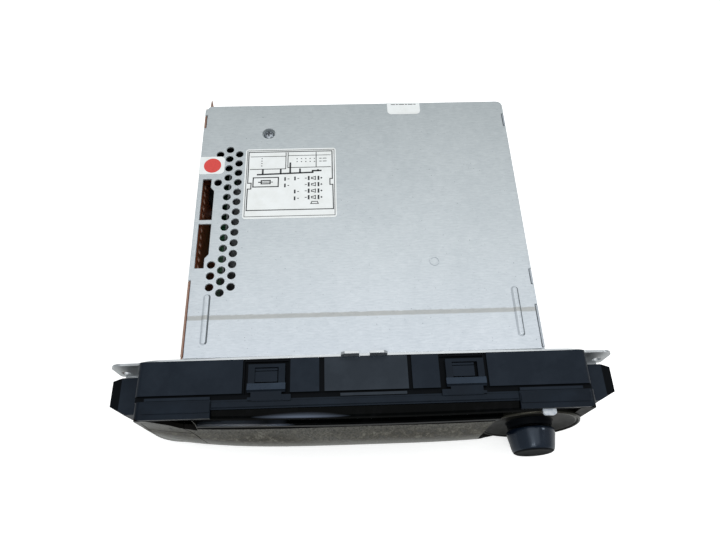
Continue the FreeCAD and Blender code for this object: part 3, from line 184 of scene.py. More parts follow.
def wire(tree, shader, colour=None, rough=None, bump=None):
    """Lead colour, roughness and bump into the shader. bump is a height, its strength and its depth."""
    if colour is not None:
        tree.links.new(colour, shader.inputs["Base Color"])
    if rough is not None:
        tree.links.new(rough, shader.inputs["Roughness"])
    if bump is not None:
        height, strength, depth = bump
        dented = add(tree, "Bump", Strength=strength, Distance=depth * MM, Height=height).outputs[0]
        tree.links.new(dented, shader.inputs["Normal"])


# Metals

LID_DEPTH = 158.0
BAND_Y = 21.6


def galvanised_lid():
    """Hot dip galvanised sheet: dull blue grey with faint crystals, rolling streaks and handling specks.

    A worn band runs across it at BAND_Y, with ragged edges. It is lighter at the front and darker at the rear,
    which is painted light.
    """
    material, tree, shader, place = start("galvanised_steel_lid", "#C9D1D8", 0.44, 0.35)
    crystal = add(tree, "TexVoronoi", Vector=place, Scale=per_mm(4.0)).outputs["Color"]
    tone = add(tree, "SeparateColor", Color=crystal).outputs[0]
    streak = noise(tree, stretched(tree, place, 0.22), 0.9, 3.0, 0.75)
    cloud = noise(tree, place, 38.0, 3.0, 0.6)
    speck = noise(tree, place, 1.3, 2.0, 0.8)
    depth = add(tree, "SeparateXYZ", Vector=place).outputs[1]
    # Painted light: the base is lighter at the front and darker towards the rear.
    film = remap(tree, depth, 0.0, LID_DEPTH * MM, 0.0, 1.0)
    base = ramp(tree, film, ((0.0, "#D8DEE4"), (0.35, "#D3D9DC"), (1.0, "#C1C7C8")))
    fine = work_out(tree, "MULTIPLY_ADD", tone, 0.1, streak)
    base = darkened(tree, 0.55, base, ramp(tree, fine, ((0.3, "#D0D4D7"), (0.75, "#FFFFFF"))))
    base = darkened(tree, 0.5, base, ramp(tree, cloud, ((0.3, "#EEF0F1"), (0.7, "#FFFFFF"))))
    base = darkened(tree, 0.9, base, ramp(tree, speck, ((0.24, "#9A9FA3"), (0.31, "#FFFFFF"))))
    ragged = work_out(tree, "MULTIPLY_ADD", streak, 1.2 * MM, depth)
    from_band = work_out(tree, "ABSOLUTE", work_out(tree, "SUBTRACT", ragged, BAND_Y * MM))
    in_band = remap(tree, from_band, 0.9 * MM, 1.5 * MM, 0.75, 0.0)
    base = darkened(tree, in_band, base, linear("#CFC9BF"))
    wire(tree, shader, base, remap(tree, fine, 0.2, 1.0, 0.36, 0.5), (streak, 0.12, 0.08))
    return material


def rolled_sheet(name, colour, rough, metal, streak_size):
    """Cold rolled and plated sheet: fine rolling lines and cloudy plating."""
    material, tree, shader, place = start(name, colour, rough, metal)
    streak = noise(tree, stretched(tree, place, 0.06), streak_size, 3.0)
    cloud = noise(tree, place, 12.0, 3.0)
    both = work_out(tree, "MULTIPLY_ADD", streak, 0.6, cloud)
    shade = ramp(tree, both, ((0.45, "#CDCDCD"), (1.0, "#FFFFFF")))
    uneven = remap(tree, both, 0.4, 1.1, rough - 0.08, rough + 0.12)
    wire(tree, shader, darkened(tree, 0.7, linear(colour), shade), uneven, (streak, 0.1, 0.05))
    return material


def turned_metal(name, colour, rough):
    """Small turned or plated metal parts: even gloss with faint smears."""
    material, tree, shader, place = start(name, colour, rough, 1.0)
    smear = noise(tree, place, 2.5, 4.0)
    shade = ramp(tree, smear, ((0.3, "#C8C8C8"), (0.6, "#FFFFFF")))
    uneven = remap(tree, smear, 0.3, 0.7, rough - 0.06, rough + 0.1)
    wire(tree, shader, darkened(tree, 0.5, linear(colour), shade), uneven)
    return material


# Plastics

def moulded_plastic(name, colour, rough, grain, dust, dust_colour="#7C8084", gloss=0.25, tint="#FFFFFF"):
    """Injection moulded plastic: fine spark eroded grain, handling polish, and dust on faces that look up."""
    material, tree, shader, place = start(name, colour, rough, Specular_IOR_Level=gloss,
                                          Specular_Tint=linear(tint))
    pores = noise(tree, place, grain, 2.0)
    cloud = noise(tree, place, 14.0, 5.0, 0.65)
    up = add(tree, "SeparateXYZ", Vector=add(tree, "NewGeometry").outputs["Normal"]).outputs[2]
    upward = remap(tree, up, 0.2, 1.0, 0.25, 1.0)
    amount = work_out(tree, "MULTIPLY", remap(tree, cloud, 0.42, 0.75, 0.1 * dust, dust), upward)
    base = blended(tree, amount, linear(colour), linear(dust_colour))
    uneven = remap(tree, cloud, 0.3, 0.7, rough - 0.07, rough + 0.09)
    wire(tree, shader, base, uneven, (pores, 0.18, 0.04))
    return material


def worn_silver_paint_and_shade():
    """Silver paint on plastic: years of hands rubbed it to a mottled olive band under the slot.

    Towards the top it is also darker, as painted shade; further down it has kept its colour.
    """
    material, tree, shader, place = start("worn_silver_paint_and_shade", "#6A6A62", 0.5, 0.2)
    height = add(tree, "SeparateXYZ", Vector=place).outputs[2]
    patch = noise(tree, place, 3.0, 8.0, 0.8)
    smudge = noise(tree, stretched(tree, place, 0.35), 16.0, 4.0, 0.6)
    fleck = noise(tree, place, 0.9, 3.0, 0.7)
    under_slot = remap(tree, height, 6.0 * MM, -2.0 * MM, 0.0, 1.0)
    over_keys = remap(tree, height, -14.0 * MM, -4.0 * MM, 0.0, 1.0)
    band = work_out(tree, "MULTIPLY", under_slot, over_keys)
    wear = remap(tree, work_out(tree, "MULTIPLY_ADD", smudge, 0.6, patch), 0.6, 0.85, 0.0, 1.0)
    wear = work_out(tree, "MULTIPLY", wear, band)
    # Painted shade: the upper part of the face is darker, with its mottled wear.
    handled = ramp(tree, fleck, ((0.36, "#1C1B16"), (0.62, "#62615A")))
    kept = ramp(tree, fleck, ((0.3, "#5E5D57"), (0.7, "#84837C")))
    silver = blended(tree, over_keys, kept, handled)
    worn = ramp(tree, patch, ((0.38, "#16130F"), (0.5, "#3F3B31"), (0.64, "#7A786E")))
    rough = remap(tree, wear, 0.0, 1.0, 0.36, 0.62)
    wire(tree, shader, blended(tree, wear, silver, worn), rough, (patch, 0.15, 0.05))
    return material


def patch_around(tree, place, x, z, half_x, half_z):
    """1 in the middle of a lens shaped patch drawn in X and Z, fading to 0 at its edge."""
    scale = Vector((1 / half_x, 0.0, 1 / half_z)) / MM
    moved = (-x / half_x, 0.0, -z / half_z)
    centred = add(tree, "Mapping", Vector=place, Scale=scale, Location=moved).outputs[0]
    distance = add(tree, "VectorMath", {"operation": "LENGTH"}, i0=centred).outputs["Value"]
    return remap(tree, distance, 0.25, 1.0, 1.0, 0.0)


# Painted highlights on the bezel's lips, pale patches in the base colour: X and Z of the middle, half their size
# in X and Z, colour
UPPER_LIP_PAINTED_HIGHLIGHT = (-31.0, 15.25, 24.0, 0.6, "#5C6472")
LOWER_LIP_PAINTED_HIGHLIGHT = (-64.0, 6.8, 22.0, 0.4, "#40464F")
LOWER_LIP_PAINTED_GLINT = (-43.0, 6.75, 9.0, 0.3, "#4C535F")


def polished_black(name, gloss):
    """Piano black acrylic: mirror gloss dulled by dust and hairline scratches, with painted highlights on both
    lips as pale patches.
    """
    material, tree, shader, place = start(name, "#020303", 0.1, IOR=1.49, Specular_IOR_Level=gloss)
    hair = noise(tree, stretched(tree, place, 0.05), 0.7, 2.0)
    dust = noise(tree, place, 9.0, 6.0, 0.7)
    base = ramp(tree, dust, ((0.5, "#020303"), (0.8, "#0C0D0F")))
    # Painted highlights laid into the base colour.
    for *where, smear in (UPPER_LIP_PAINTED_HIGHLIGHT, LOWER_LIP_PAINTED_HIGHLIGHT, LOWER_LIP_PAINTED_GLINT):
        base = blended(tree, patch_around(tree, place, *where), base, linear(smear))
    both = work_out(tree, "MULTIPLY", hair, dust)
    wire(tree, shader, base, remap(tree, both, 0.1, 0.45, 0.04, 0.16))
    return material


def smoked_clear():
    """Smoked polycarbonate window of the display, glossy with a faint film of grease."""
    material, tree, shader, place = start("smoked_polycarbonate", "#11151A", 0.08, IOR=1.58,
                                          Specular_IOR_Level=0.3)
    film = noise(tree, place, 20.0, 5.0)
    wire(tree, shader, rough=remap(tree, film, 0.4, 0.7, 0.06, 0.16))
    return material


def frosted_light_guide():
    """Frosted acrylic that pipes light: pale, half clear, with a soft inner glow."""
    material, tree, shader, place = start("frosted_acrylic", "#DDE4EC", 0.35, IOR=1.49,
                                          Transmission_Weight=0.25, Subsurface_Weight=0.3,
                                          Subsurface_Radius=(2 * MM, 2 * MM, 2 * MM))
    haze = noise(tree, place, 1.5, 3.0)
    wire(tree, shader, ramp(tree, haze, ((0.3, "#C9D3DE"), (0.7, "#F2F6FA"))))
    return material


def rubber(name, colour, rough):
    """Moulded rubber: matt, with a bloom that lightens it in patches."""
    material, tree, shader, place = start(name, colour, rough, IOR=1.5)
    bloom = noise(tree, place, 5.0, 6.0, 0.7)
    shade = blended(tree, remap(tree, bloom, 0.4, 0.8, 0.0, 0.3), linear(colour), linear("#8C8C88"))
    wire(tree, shader, shade, bump=(bloom, 0.3, 0.05))
    return material


# Prints and boards

def printed_film(name, colour):
    """White polyester label film with a satin face, a little soiled."""
    material, tree, shader, place = start(name, colour, 0.38, IOR=1.6)
    soil = noise(tree, place, 9.0, 6.0, 0.65)
    shade = darkened(tree, 0.3, linear(colour), ramp(tree, soil, ((0.35, "#E2E0DA"), (0.6, "#FFFFFF"))))
    wire(tree, shader, shade, bump=(soil, 0.15, 0.1))
    return material


def printing_ink(name, colour):
    """Screen printed ink, a little uneven in its density."""
    material, tree, shader, place = start(name, colour, 0.5, IOR=1.5)
    lighter = [min(1.0, c * 1.35 + 0.006) for c in linear(colour)[:3]] + [1.0]
    wire(tree, shader, blended(tree, noise(tree, place, 0.8, 3.0), linear(colour), lighter))
    return material


def circuit_board():
    """Glass fibre board under green solder mask, with copper tracks that show through as lighter lines."""
    material, tree, shader, place = start("solder_mask_green", "#12442A", 0.3, IOR=1.55)
    tracks = add(tree, "TexBrick", Vector=place, Scale=per_mm(9.0), Mortar_Size=0.03,
                 Color1=linear("#0F3D26"), Color2=linear("#154C30"), Mortar=linear("#2F7A4E")).outputs[0]
    weave = add(tree, "TexChecker", Vector=place, Scale=per_mm(0.8)).outputs[1]
    wire(tree, shader, tracks, bump=(weave, 0.08, 0.03))
    return material


# Black plastics throw a slightly blue light back
COOL = "#DCECFF"

LID = galvanised_lid()
# Painted shade: the bead flanks that face +X are a darker grey.
BEAD_FLANK_SHADE = rolled_sheet("bead_flank_painted_shade", "#6E7478", 0.5, 0.3, 1.6)
CASE_SHEET = rolled_sheet("galvanised_steel_case", "#B4BAC0", 0.42, 0.75, 1.6)
YELLOW_PLATE = rolled_sheet("yellow_chromated_steel", "#B0603C", 0.42, 0.15, 1.2)
FADED_PLATE = rolled_sheet("faded_chromated_steel", "#9A7C6C", 0.42, 0.3, 1.2)
BRACKET_TIN = rolled_sheet("tin_plated_steel", "#C6CACC", 0.3, 0.9, 1.0)
DRIVE_SHEET = rolled_sheet("galvanised_drive_sheet", "#6C7072", 0.42, 0.8, 1.4)
SCREW_ZINC = turned_metal("zinc_plated_screw_steel", "#9CA2A8", 0.34)
NICKEL = turned_metal("nickel_plate", "#BDB9AE", 0.22)
BRASS = turned_metal("turned_brass", "#B98B45", 0.28)
TIN = turned_metal("tinned_contact", "#C7C1AC", 0.25)
DIAL_LIP = turned_metal("dark_chromed_lip", "#3C3B35", 0.3)
FRONT_ABS = moulded_plastic("black_abs_grained", "#0E151E", 0.46, 0.35, 0.06, "#6C7885", 0.18, COOL)
LATCH_ABS = moulded_plastic("black_abs_smooth", "#080E16", 0.36, 0.6, 0.06, "#55687C", 0.16, COOL)
# Painted light: the latch bars' plastic is lighter where light falls on them.
LATCH_BAR_LIT = moulded_plastic("black_abs_painted_lit", "#17222F", 0.3, 0.6, 0.12, "#6A7C8E", 0.28, COOL)
FRONT_RUBBED = moulded_plastic("black_abs_handled", "#1F242A", 0.42, 0.35, 0.08, "#7A8590", 0.22, COOL)
KNOB_SATIN = moulded_plastic("black_satin_knob", "#07101C", 0.24, 0.3, 0.05, "#2C3E52", 0.5, COOL)
# Painted shade: near black plastic put in the frame's channels, steps and clip hooks, the screw's cross recess,
# the dial's collar and the knob's front.
PAINTED_SHADE_BLACK = moulded_plastic("shadowed_recess", "#06090D", 0.6, 0.5, 0.02, "#3A4148", 0.06)
# Also painted shade in the dial's well and at the faceplate's end above the dial.
KEY_BLACK_AND_SHADE = moulded_plastic("black_key_plastic_and_painted_shade", "#0B0A09", 0.5, 0.5, 0.04, "#4A443B", 0.1)
DISH_WITH_SHADE = moulded_plastic("dish_with_painted_shade", "#12120E", 0.45, 0.4, 0.05, "#3A3931", 0.12)
POM_BLACK = moulded_plastic("black_acetal", "#151617", 0.35, 0.5, 0.05)
POM_WHITE = moulded_plastic("white_acetal", "#D8D4C8", 0.38, 0.5, 0.05)
CHIP_EPOXY = moulded_plastic("black_moulding_epoxy", "#1A1A1B", 0.55, 0.2, 0.1)
FUSE_RED = moulded_plastic("red_nylon_fuse", "#C4241A", 0.22, 0.6, 0.03)
SILVER = worn_silver_paint_and_shade()
GLOSS = polished_black("polished_black_acrylic", 0.035)
GLOSS_EDGE = polished_black("polished_edge_of_acrylic", 0.45)
LENS = smoked_clear()
FROST = frosted_light_guide()
SILICONE = rubber("grey_silicone_rubber", "#7D7F7C", 0.6)
DARK_RUBBER = rubber("dark_butyl_rubber", "#1B1B1B", 0.65)
FILM = printed_film("white_label_film", "#F6F9F8")
INK_BLACK = printing_ink("black_screen_ink", "#1C2024")
INK_RED = printing_ink("red_screen_ink", "#CE3F38")
BOARD = circuit_board()


# Making pieces

HARD_EDGE = 40.0      # degrees: CAD edges sharper than this are broken
SMOOTH_UNDER = 32.0   # degrees: edges blunter than this are shaded smooth


def finish_mesh(bm, name, material, node=None, body=None, sharp=SMOOTH_UNDER):
    """Turn a bmesh into a piece, smooth but for its sharp edges; it rides where its node rides."""
    for face in bm.faces:
        face.smooth = True
    for edge in bm.edges:
        edge.smooth = len(edge.link_faces) == 2 and edge.calc_face_angle(0.0) < radians(sharp)
    mesh = bpy.data.meshes.new(name)
    bm.to_mesh(mesh)
    bm.free()
    piece = bpy.data.objects.new(name, mesh)
    scene.collection.objects.link(piece)
    for each in material if isinstance(material, tuple) else (material,):
        mesh.materials.append(each)
    even = piece.modifiers.new("even_shading", "WEIGHTED_NORMAL")
    even.keep_sharp = True
    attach(piece, body or BODY_OF[node])
    if node:
        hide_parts(node)
    return piece


def soften(bm, edges, width, segments=2, clamp=True):
    """Round edges off by that width."""
    bmesh.ops.bevel(bm, geom=edges, offset=width * MM, offset_type="OFFSET", segments=segments,
                    profile=0.5, affect="EDGES", clamp_overlap=clamp, material=-1)


def merged_copy(node):
    """A CAD node's surface as one joined mesh with its flat faces whole."""
    bm = bmesh.new()
    bm.from_mesh(frame["nodes"][node].data)
    bmesh.ops.remove_doubles(bm, verts=bm.verts, dist=0.003 * MM)
    bmesh.ops.dissolve_limit(bm, angle_limit=radians(0.6), verts=bm.verts, edges=bm.edges)
    return bm


def rounded(node, material, width, sharp=SMOOTH_UNDER, others=(), where=None):
    """A CAD node with its long hard edges broken. where() gives each face the number of its finish."""
    bm = merged_copy(node)
    hard = [edge for edge in bm.edges
            if len(edge.link_faces) == 2 and edge.calc_length() > 4 * width * MM
            and edge.calc_face_angle(0.0) > radians(HARD_EDGE)]
    soften(bm, hard, width)
    bm.normal_update()
    if where:
        for face in bm.faces:
            face.material_index = int(where(face, face.calc_center_median() / MM))
    return finish_mesh(bm, node + "_skin", (material, *others), node=node, sharp=sharp)


def coat(material, *nodes):
    """Give CAD nodes whose shape is already right their real surface."""
    for name in nodes:
        mesh = frame["nodes"][name].data
        mesh.materials.clear()
        mesh.materials.append(material)


def block(bm, low, high, edge):
    """A box between two corners with rounded edges."""
    low, high = Vector(low), Vector(high)
    made = bmesh.ops.create_cube(bm, size=1.0)["verts"]
    bmesh.ops.scale(bm, vec=(high - low) * MM, verts=made)
    bmesh.ops.translate(bm, vec=(high + low) / 2 * MM, verts=made)
    soften(bm, list({side for vert in made for side in vert.link_edges}), edge)


def turned(bm, profile, centre, axis, steps):
    """Spin an outline of (radius, distance along the axis) pairs into a closed body."""
    side = axis.orthogonal().normalized()
    verts = [bm.verts.new((Vector(centre) + side * r + axis * h) * MM) for r, h in profile]
    edges = [bm.edges.new(pair) for pair in zip(verts, verts[1:])]
    bmesh.ops.spin(bm, geom=verts + edges, cent=Vector(centre) * MM, axis=axis, dvec=(0, 0, 0),
                   angle=2 * pi, steps=steps, use_merge=True, use_duplicate=False)
    bmesh.ops.remove_doubles(bm, verts=bm.verts, dist=0.001 * MM)
    bmesh.ops.recalc_face_normals(bm, faces=bm.faces)


def ring_of_edges(bm, points):
    verts = [bm.verts.new(Vector(p) * MM) for p in points]
    return [bm.edges.new(pair) for pair in zip(verts, verts[1:] + verts[:1])]


def circle(x, y, z, radius, steps):
    angles = [2 * pi * i / steps for i in range(steps)]
    return [(x + radius * cos(a), y + radius * sin(a), z) for a in angles]


# Dial's place, and the radius of the well that it sits in
DIAL_AT = (85.0, -32.0, -12.0)
DIAL_TILT = 3.0
DIAL_WELL_R = 29.2
DIAL_AXIS = Vector((0, -cos(radians(DIAL_TILT)), sin(radians(DIAL_TILT))))

# Levels and ends of the plastic front by which its faces get their finish, painted shade and painted light
CHANNEL_FLOOR, UNDER_PADS = 14.0, 17.3
CHANNELS_END, CLIP_HOOKS = 108.0, 122.5
MIDDLE_PAD_END, MIDDLE_PAD_LOW = 24.0, 17.0
LATCH_BAR_LOW, LATCH_BAR_BACK, LATCH_BAR_ENDS = 18.3, -13.0, (38.0, 59.0)
RIGHT_END, RIGHT_END_LOW = 102.0, 2.0
LOWER_LIP_TOP = 7.0
PAINT_FACES = -0.62    # Paint is on faces that look forward more than this part of Y


def unpainted_and_shade(face, at):
    """Black plastic of a painted moulding on its walls and backs; the dial's well and the end above the dial are
    painted the same black as shade.
    """
    axis = Vector((DIAL_AT[0], 0, DIAL_AT[2]))
    outward = (at - axis - Y * at.y).normalized()
    # Painted shade: the dial's well and the end above it.
    well_in_painted_shade = face.normal.dot(outward) < 0.3 and all(
        (v.co / MM - axis - Y * v.co.y / MM).length < DIAL_WELL_R for v in face.verts)
    end_in_painted_shade = at.x > RIGHT_END and at.z > RIGHT_END_LOW
    return face.normal.y > PAINT_FACES or well_in_painted_shade or end_in_painted_shade


def sunk_in_frame(face, at):
    """1 for the front frame's channels and steps and for its clip hooks, which get painted shade, 2 for the
    handled middle pad.
    """
    # Channels, steps and low walls get painted shade.
    low = at.z < UNDER_PADS or face.normal.z < 0.5
    if at.z > CHANNEL_FLOOR and low and abs(at.x) < CHANNELS_END or abs(at.x) > CLIP_HOOKS:
        return 1
    return 2 if at.z > MIDDLE_PAD_LOW and abs(at.x) < MIDDLE_PAD_END else 0


def inner_side(face, at):
    """Inner face of the left plate, where the chromate kept its colour."""
    return face.normal.x > 0.5


def latch_bar(face, at):
    """Raised front bars of the two snap loops, painted lighter as light that falls on them."""
    near, far = LATCH_BAR_ENDS
    return at.z > LATCH_BAR_LOW and near < abs(at.x) < far and at.y < LATCH_BAR_BACK


def lower_lip_slope(face, at):
    """Sloped top of the lip under the slot, polished by the discs."""
    return face.normal.y < -0.75 and face.normal.z > 0.3 and at.z < LOWER_LIP_TOP


# Top cover

VENT_R, VENT_PITCH, VENT_STEP = 2.2, 6.48, 5.53
VENT_X, VENT_Y = -73.25, 125.4
BRIDGE_Y = 77.15
SCREW_AT = (-51.3, 136.7)
RING_AT = (39.3, 49.8)
CUP_R = 3.8
LID_TOP = 18.0
LID_SIDE = 90.0
SHEET = 1.0
BEAD_X, BEAD_START, BEAD_END, BEAD_W, BEAD_RISE = 79.3, 6.4, 34.1, 4.0, 0.9
FOLD_INSIDE, FOLD_OUTSIDE = 87.9, 88.9


def pressed_bead(bm, x, y0, y1, width, rise, z):
    """Long pressed bead with sloped sides, a flat crown and round ends: a turned button pulled out lengthways."""
    r = width / 2
    before = set(bm.verts)
    profile = [(r, -0.1), (r - 0.2, 0.1), (r - 0.85, rise - 0.12), (r - 1.2, rise), (0.0, rise)]
    turned(bm, profile, (x, (y0 + y1) / 2, z), Z, 32)
    middle = (y0 + y1) / 2 * MM
    half = (y1 - y0 - width) / 2 * MM
    for v in (v for v in bm.verts if v not in before):
        if abs(v.co.y - middle) > 0.0001 * MM:
            v.co.y += half if v.co.y > middle else -half


def cover_outline(z):
    """The lid seen from above, with the notches in its side edges."""
    side, depth, notch, corner_r = LID_SIDE, LID_DEPTH, LID_SIDE - 1.5, 3.5
    right = [(side, 23.8), (side, 35.0), (notch, 35.0), (notch, 44.0), (side, 44.0), (side, 139.0),
             (notch, 139.0), (notch, 148.4), (side, 148.4)]
    corner = [(side - corner_r * (1 - cos(a)), depth - corner_r * (1 - sin(a)))
              for a in (0, pi / 8, pi / 4, 3 * pi / 8, pi / 2)]
    left = [(-side + 3, depth), (-side, depth - 3), (-side, 151.4), (-notch, 151.4), (-notch, 141.8),
            (-side, 141.8), (-side, 42.1), (-notch, 42.1), (-notch, 0), (notch, 0), (notch, 23.8)]
    return [(x, y, z) for x, y in right + corner + left]


def top_cover_sheet():
    """The lid: a plate with its vents and notches, beads, screw cup, ring and the folds that reach down."""
    top = LID_TOP
    bm = bmesh.new()
    edges = ring_of_edges(bm, cover_outline(top))
    for column, rows in ((0, range(15)), (1, range(14)), (-1, (0, 3, 11, 12, 13))):
        for row in rows:
            y = VENT_Y - VENT_PITCH * (row + 0.5 * abs(column))
            edges += ring_of_edges(bm, circle(VENT_X + column * VENT_STEP, y, top, VENT_R, 20))
    window = ((-87.4, 1.25), (-80.6, 1.25), (-80.6, 20.0), (-82.6, 22.3), (-82.6, 28.1), (-87.4, 28.1))
    for sign in (1, -1):
        edges += ring_of_edges(bm, [(x, BRIDGE_Y + sign * y, top) for x, y in window])
    edges += ring_of_edges(bm, circle(*SCREW_AT, top, CUP_R, 28))
    bmesh.ops.triangle_fill(bm, use_beauty=True, use_dissolve=False, edges=edges)
    bmesh.ops.recalc_face_normals(bm, faces=bm.faces)
    if sum(face.normal.z for face in bm.faces) < 0:
        bmesh.ops.reverse_faces(bm, faces=bm.faces)
    lower = bmesh.ops.extrude_face_region(bm, geom=list(bm.faces))["geom"]
    lower = [v for v in lower if isinstance(v, bmesh.types.BMVert)]
    bmesh.ops.translate(bm, vec=(0, 0, -SHEET * MM), verts=lower)
    bmesh.ops.recalc_face_normals(bm, faces=bm.faces)
    rims = [e for e in bm.edges if all(abs(v.co.z - top * MM) < 0.001 * MM for v in e.verts)
            and len(e.link_faces) == 2 and e.calc_face_angle(0.0) > 1.0]
    soften(bm, rims, 0.22, clamp=False)
    for x in (BEAD_X, -BEAD_X):
        pressed_bead(bm, x, BEAD_START, BEAD_END, BEAD_W, BEAD_RISE, top)
    cup = [(4.2, -0.1), (CUP_R, -0.02), (3.65, -0.5), (3.6, -1.8), (1.6, -1.8), (1.6, -2.6), (4.2, -2.6),
           (4.2, -0.1)]
    turned(bm, cup, (*SCREW_AT, top), Z, 32)
    turned(bm, [(2.75, -0.1), (2.6, 0.42), (2.1, 0.42), (1.95, -0.1)], (*RING_AT, top), Z, 28)
    for side in (-1, 1):
        low_x, high_x = sorted((side * FOLD_INSIDE, side * FOLD_OUTSIDE))
        block(bm, (low_x, 4, top - 7), (high_x, 150, top - 0.9), 0.2)
    block(bm, (-84, LID_DEPTH - 1, top - 10), (84, LID_DEPTH, top - 0.5), 0.25)
    bm.normal_update()
    for face in bm.faces:
        at = face.calc_center_median() / MM
        on_bead = at.z > top + 0.02 and abs(abs(at.x) - BEAD_X) < BEAD_W / 2 + 0.3
        # A bead's flank that faces +X is painted darker as shade.
        if on_bead and face.normal.x > 0.4:
            face.material_index = 1
        elif at.x < -87.0 and at.z < top - SHEET and face.normal.x > 0.9:
            face.material_index = 2
    finish_mesh(bm, "top_cover_sheet", (LID, BEAD_FLANK_SHADE, YELLOW_PLATE), node="top_cover")


def cover_screw_head():
    """Pan head with a cross recess, seated in the pressed cup."""
    x, y = SCREW_AT
    seat = 16.2
    bm = bmesh.new()
    dome = [(0.0, 1.5), (1.3, 1.44), (2.3, 1.2), (2.95, 0.7), (3.2, 0.2), (3.2, 0.0), (1.4, 0.0),
            (1.4, -4.0), (0.0, -4.0)]
    turned(bm, dome, (x, y, seat), Z, 32)
    finish_mesh(bm, "cover_screw_head", SCREW_ZINC, node="cover_screw")
    bm = bmesh.new()
    # The cross recess is painted near black as shade.
    for half_x, half_y in ((0.35, 1.7), (1.7, 0.35)):
        block(bm, (x - half_x, y - half_y, seat + 1.2), (x + half_x, y + half_y, seat + 1.49), 0.05)
    finish_mesh(bm, "cover_screw_recess", PAINTED_SHADE_BLACK, body="unit")


# Labels

PRINT_LIFT = 0.03


def label(node, corner_r):
    """A label with the corners of its outline rounded off: short upright edges between its narrow walls."""
    bm = merged_copy(node)
    corners = [edge for edge in bm.edges
               if edge.calc_length() < 0.8 * MM and edge.calc_face_angle(0.0) > radians(80)
               and max(face.calc_area() for face in edge.link_faces) < 12.0 * MM * MM]
    soften(bm, corners, corner_r, segments=5)
    finish_mesh(bm, node + "_film", FILM, node=node)


def on_label(node):
    """Place on a label's top, from its left rear corner to the right (u) and to the front (v)."""
    low, high = span(node)

    def place(u, v, lift):
        return Vector((low.x + u, high.y - v, high.z + lift)) * MM

    return place, high.x - low.x, high.y - low.y


def stroke(bm, a, b, width, place):
    """A printed line between two points of the label, drawn as a thin raised strip."""
    a, b = Vector(a), Vector(b)
    along = (b - a).normalized() * width / 2
    across = Vector((-along.y, along.x))
    corners = [a - along - across, b + along - across, b + along + across, a - along + across]
    lower = [bm.verts.new(place(*c, 0.0)) for c in corners]
    upper = [bm.verts.new(place(*c, PRINT_LIFT)) for c in corners]
    bm.faces.new(upper)
    bm.faces.new(lower[::-1])
    for i in range(4):
        bm.faces.new((lower[i], lower[(i + 1) % 4], upper[(i + 1) % 4], upper[i]))


def strokes(bm, points, width, place):
    for a, b in zip(points, points[1:]):
        stroke(bm, a, b, width, place)


def rectangle(left, rear, right, front):
    return [(left, rear), (right, rear), (right, front), (left, front), (left, rear)]


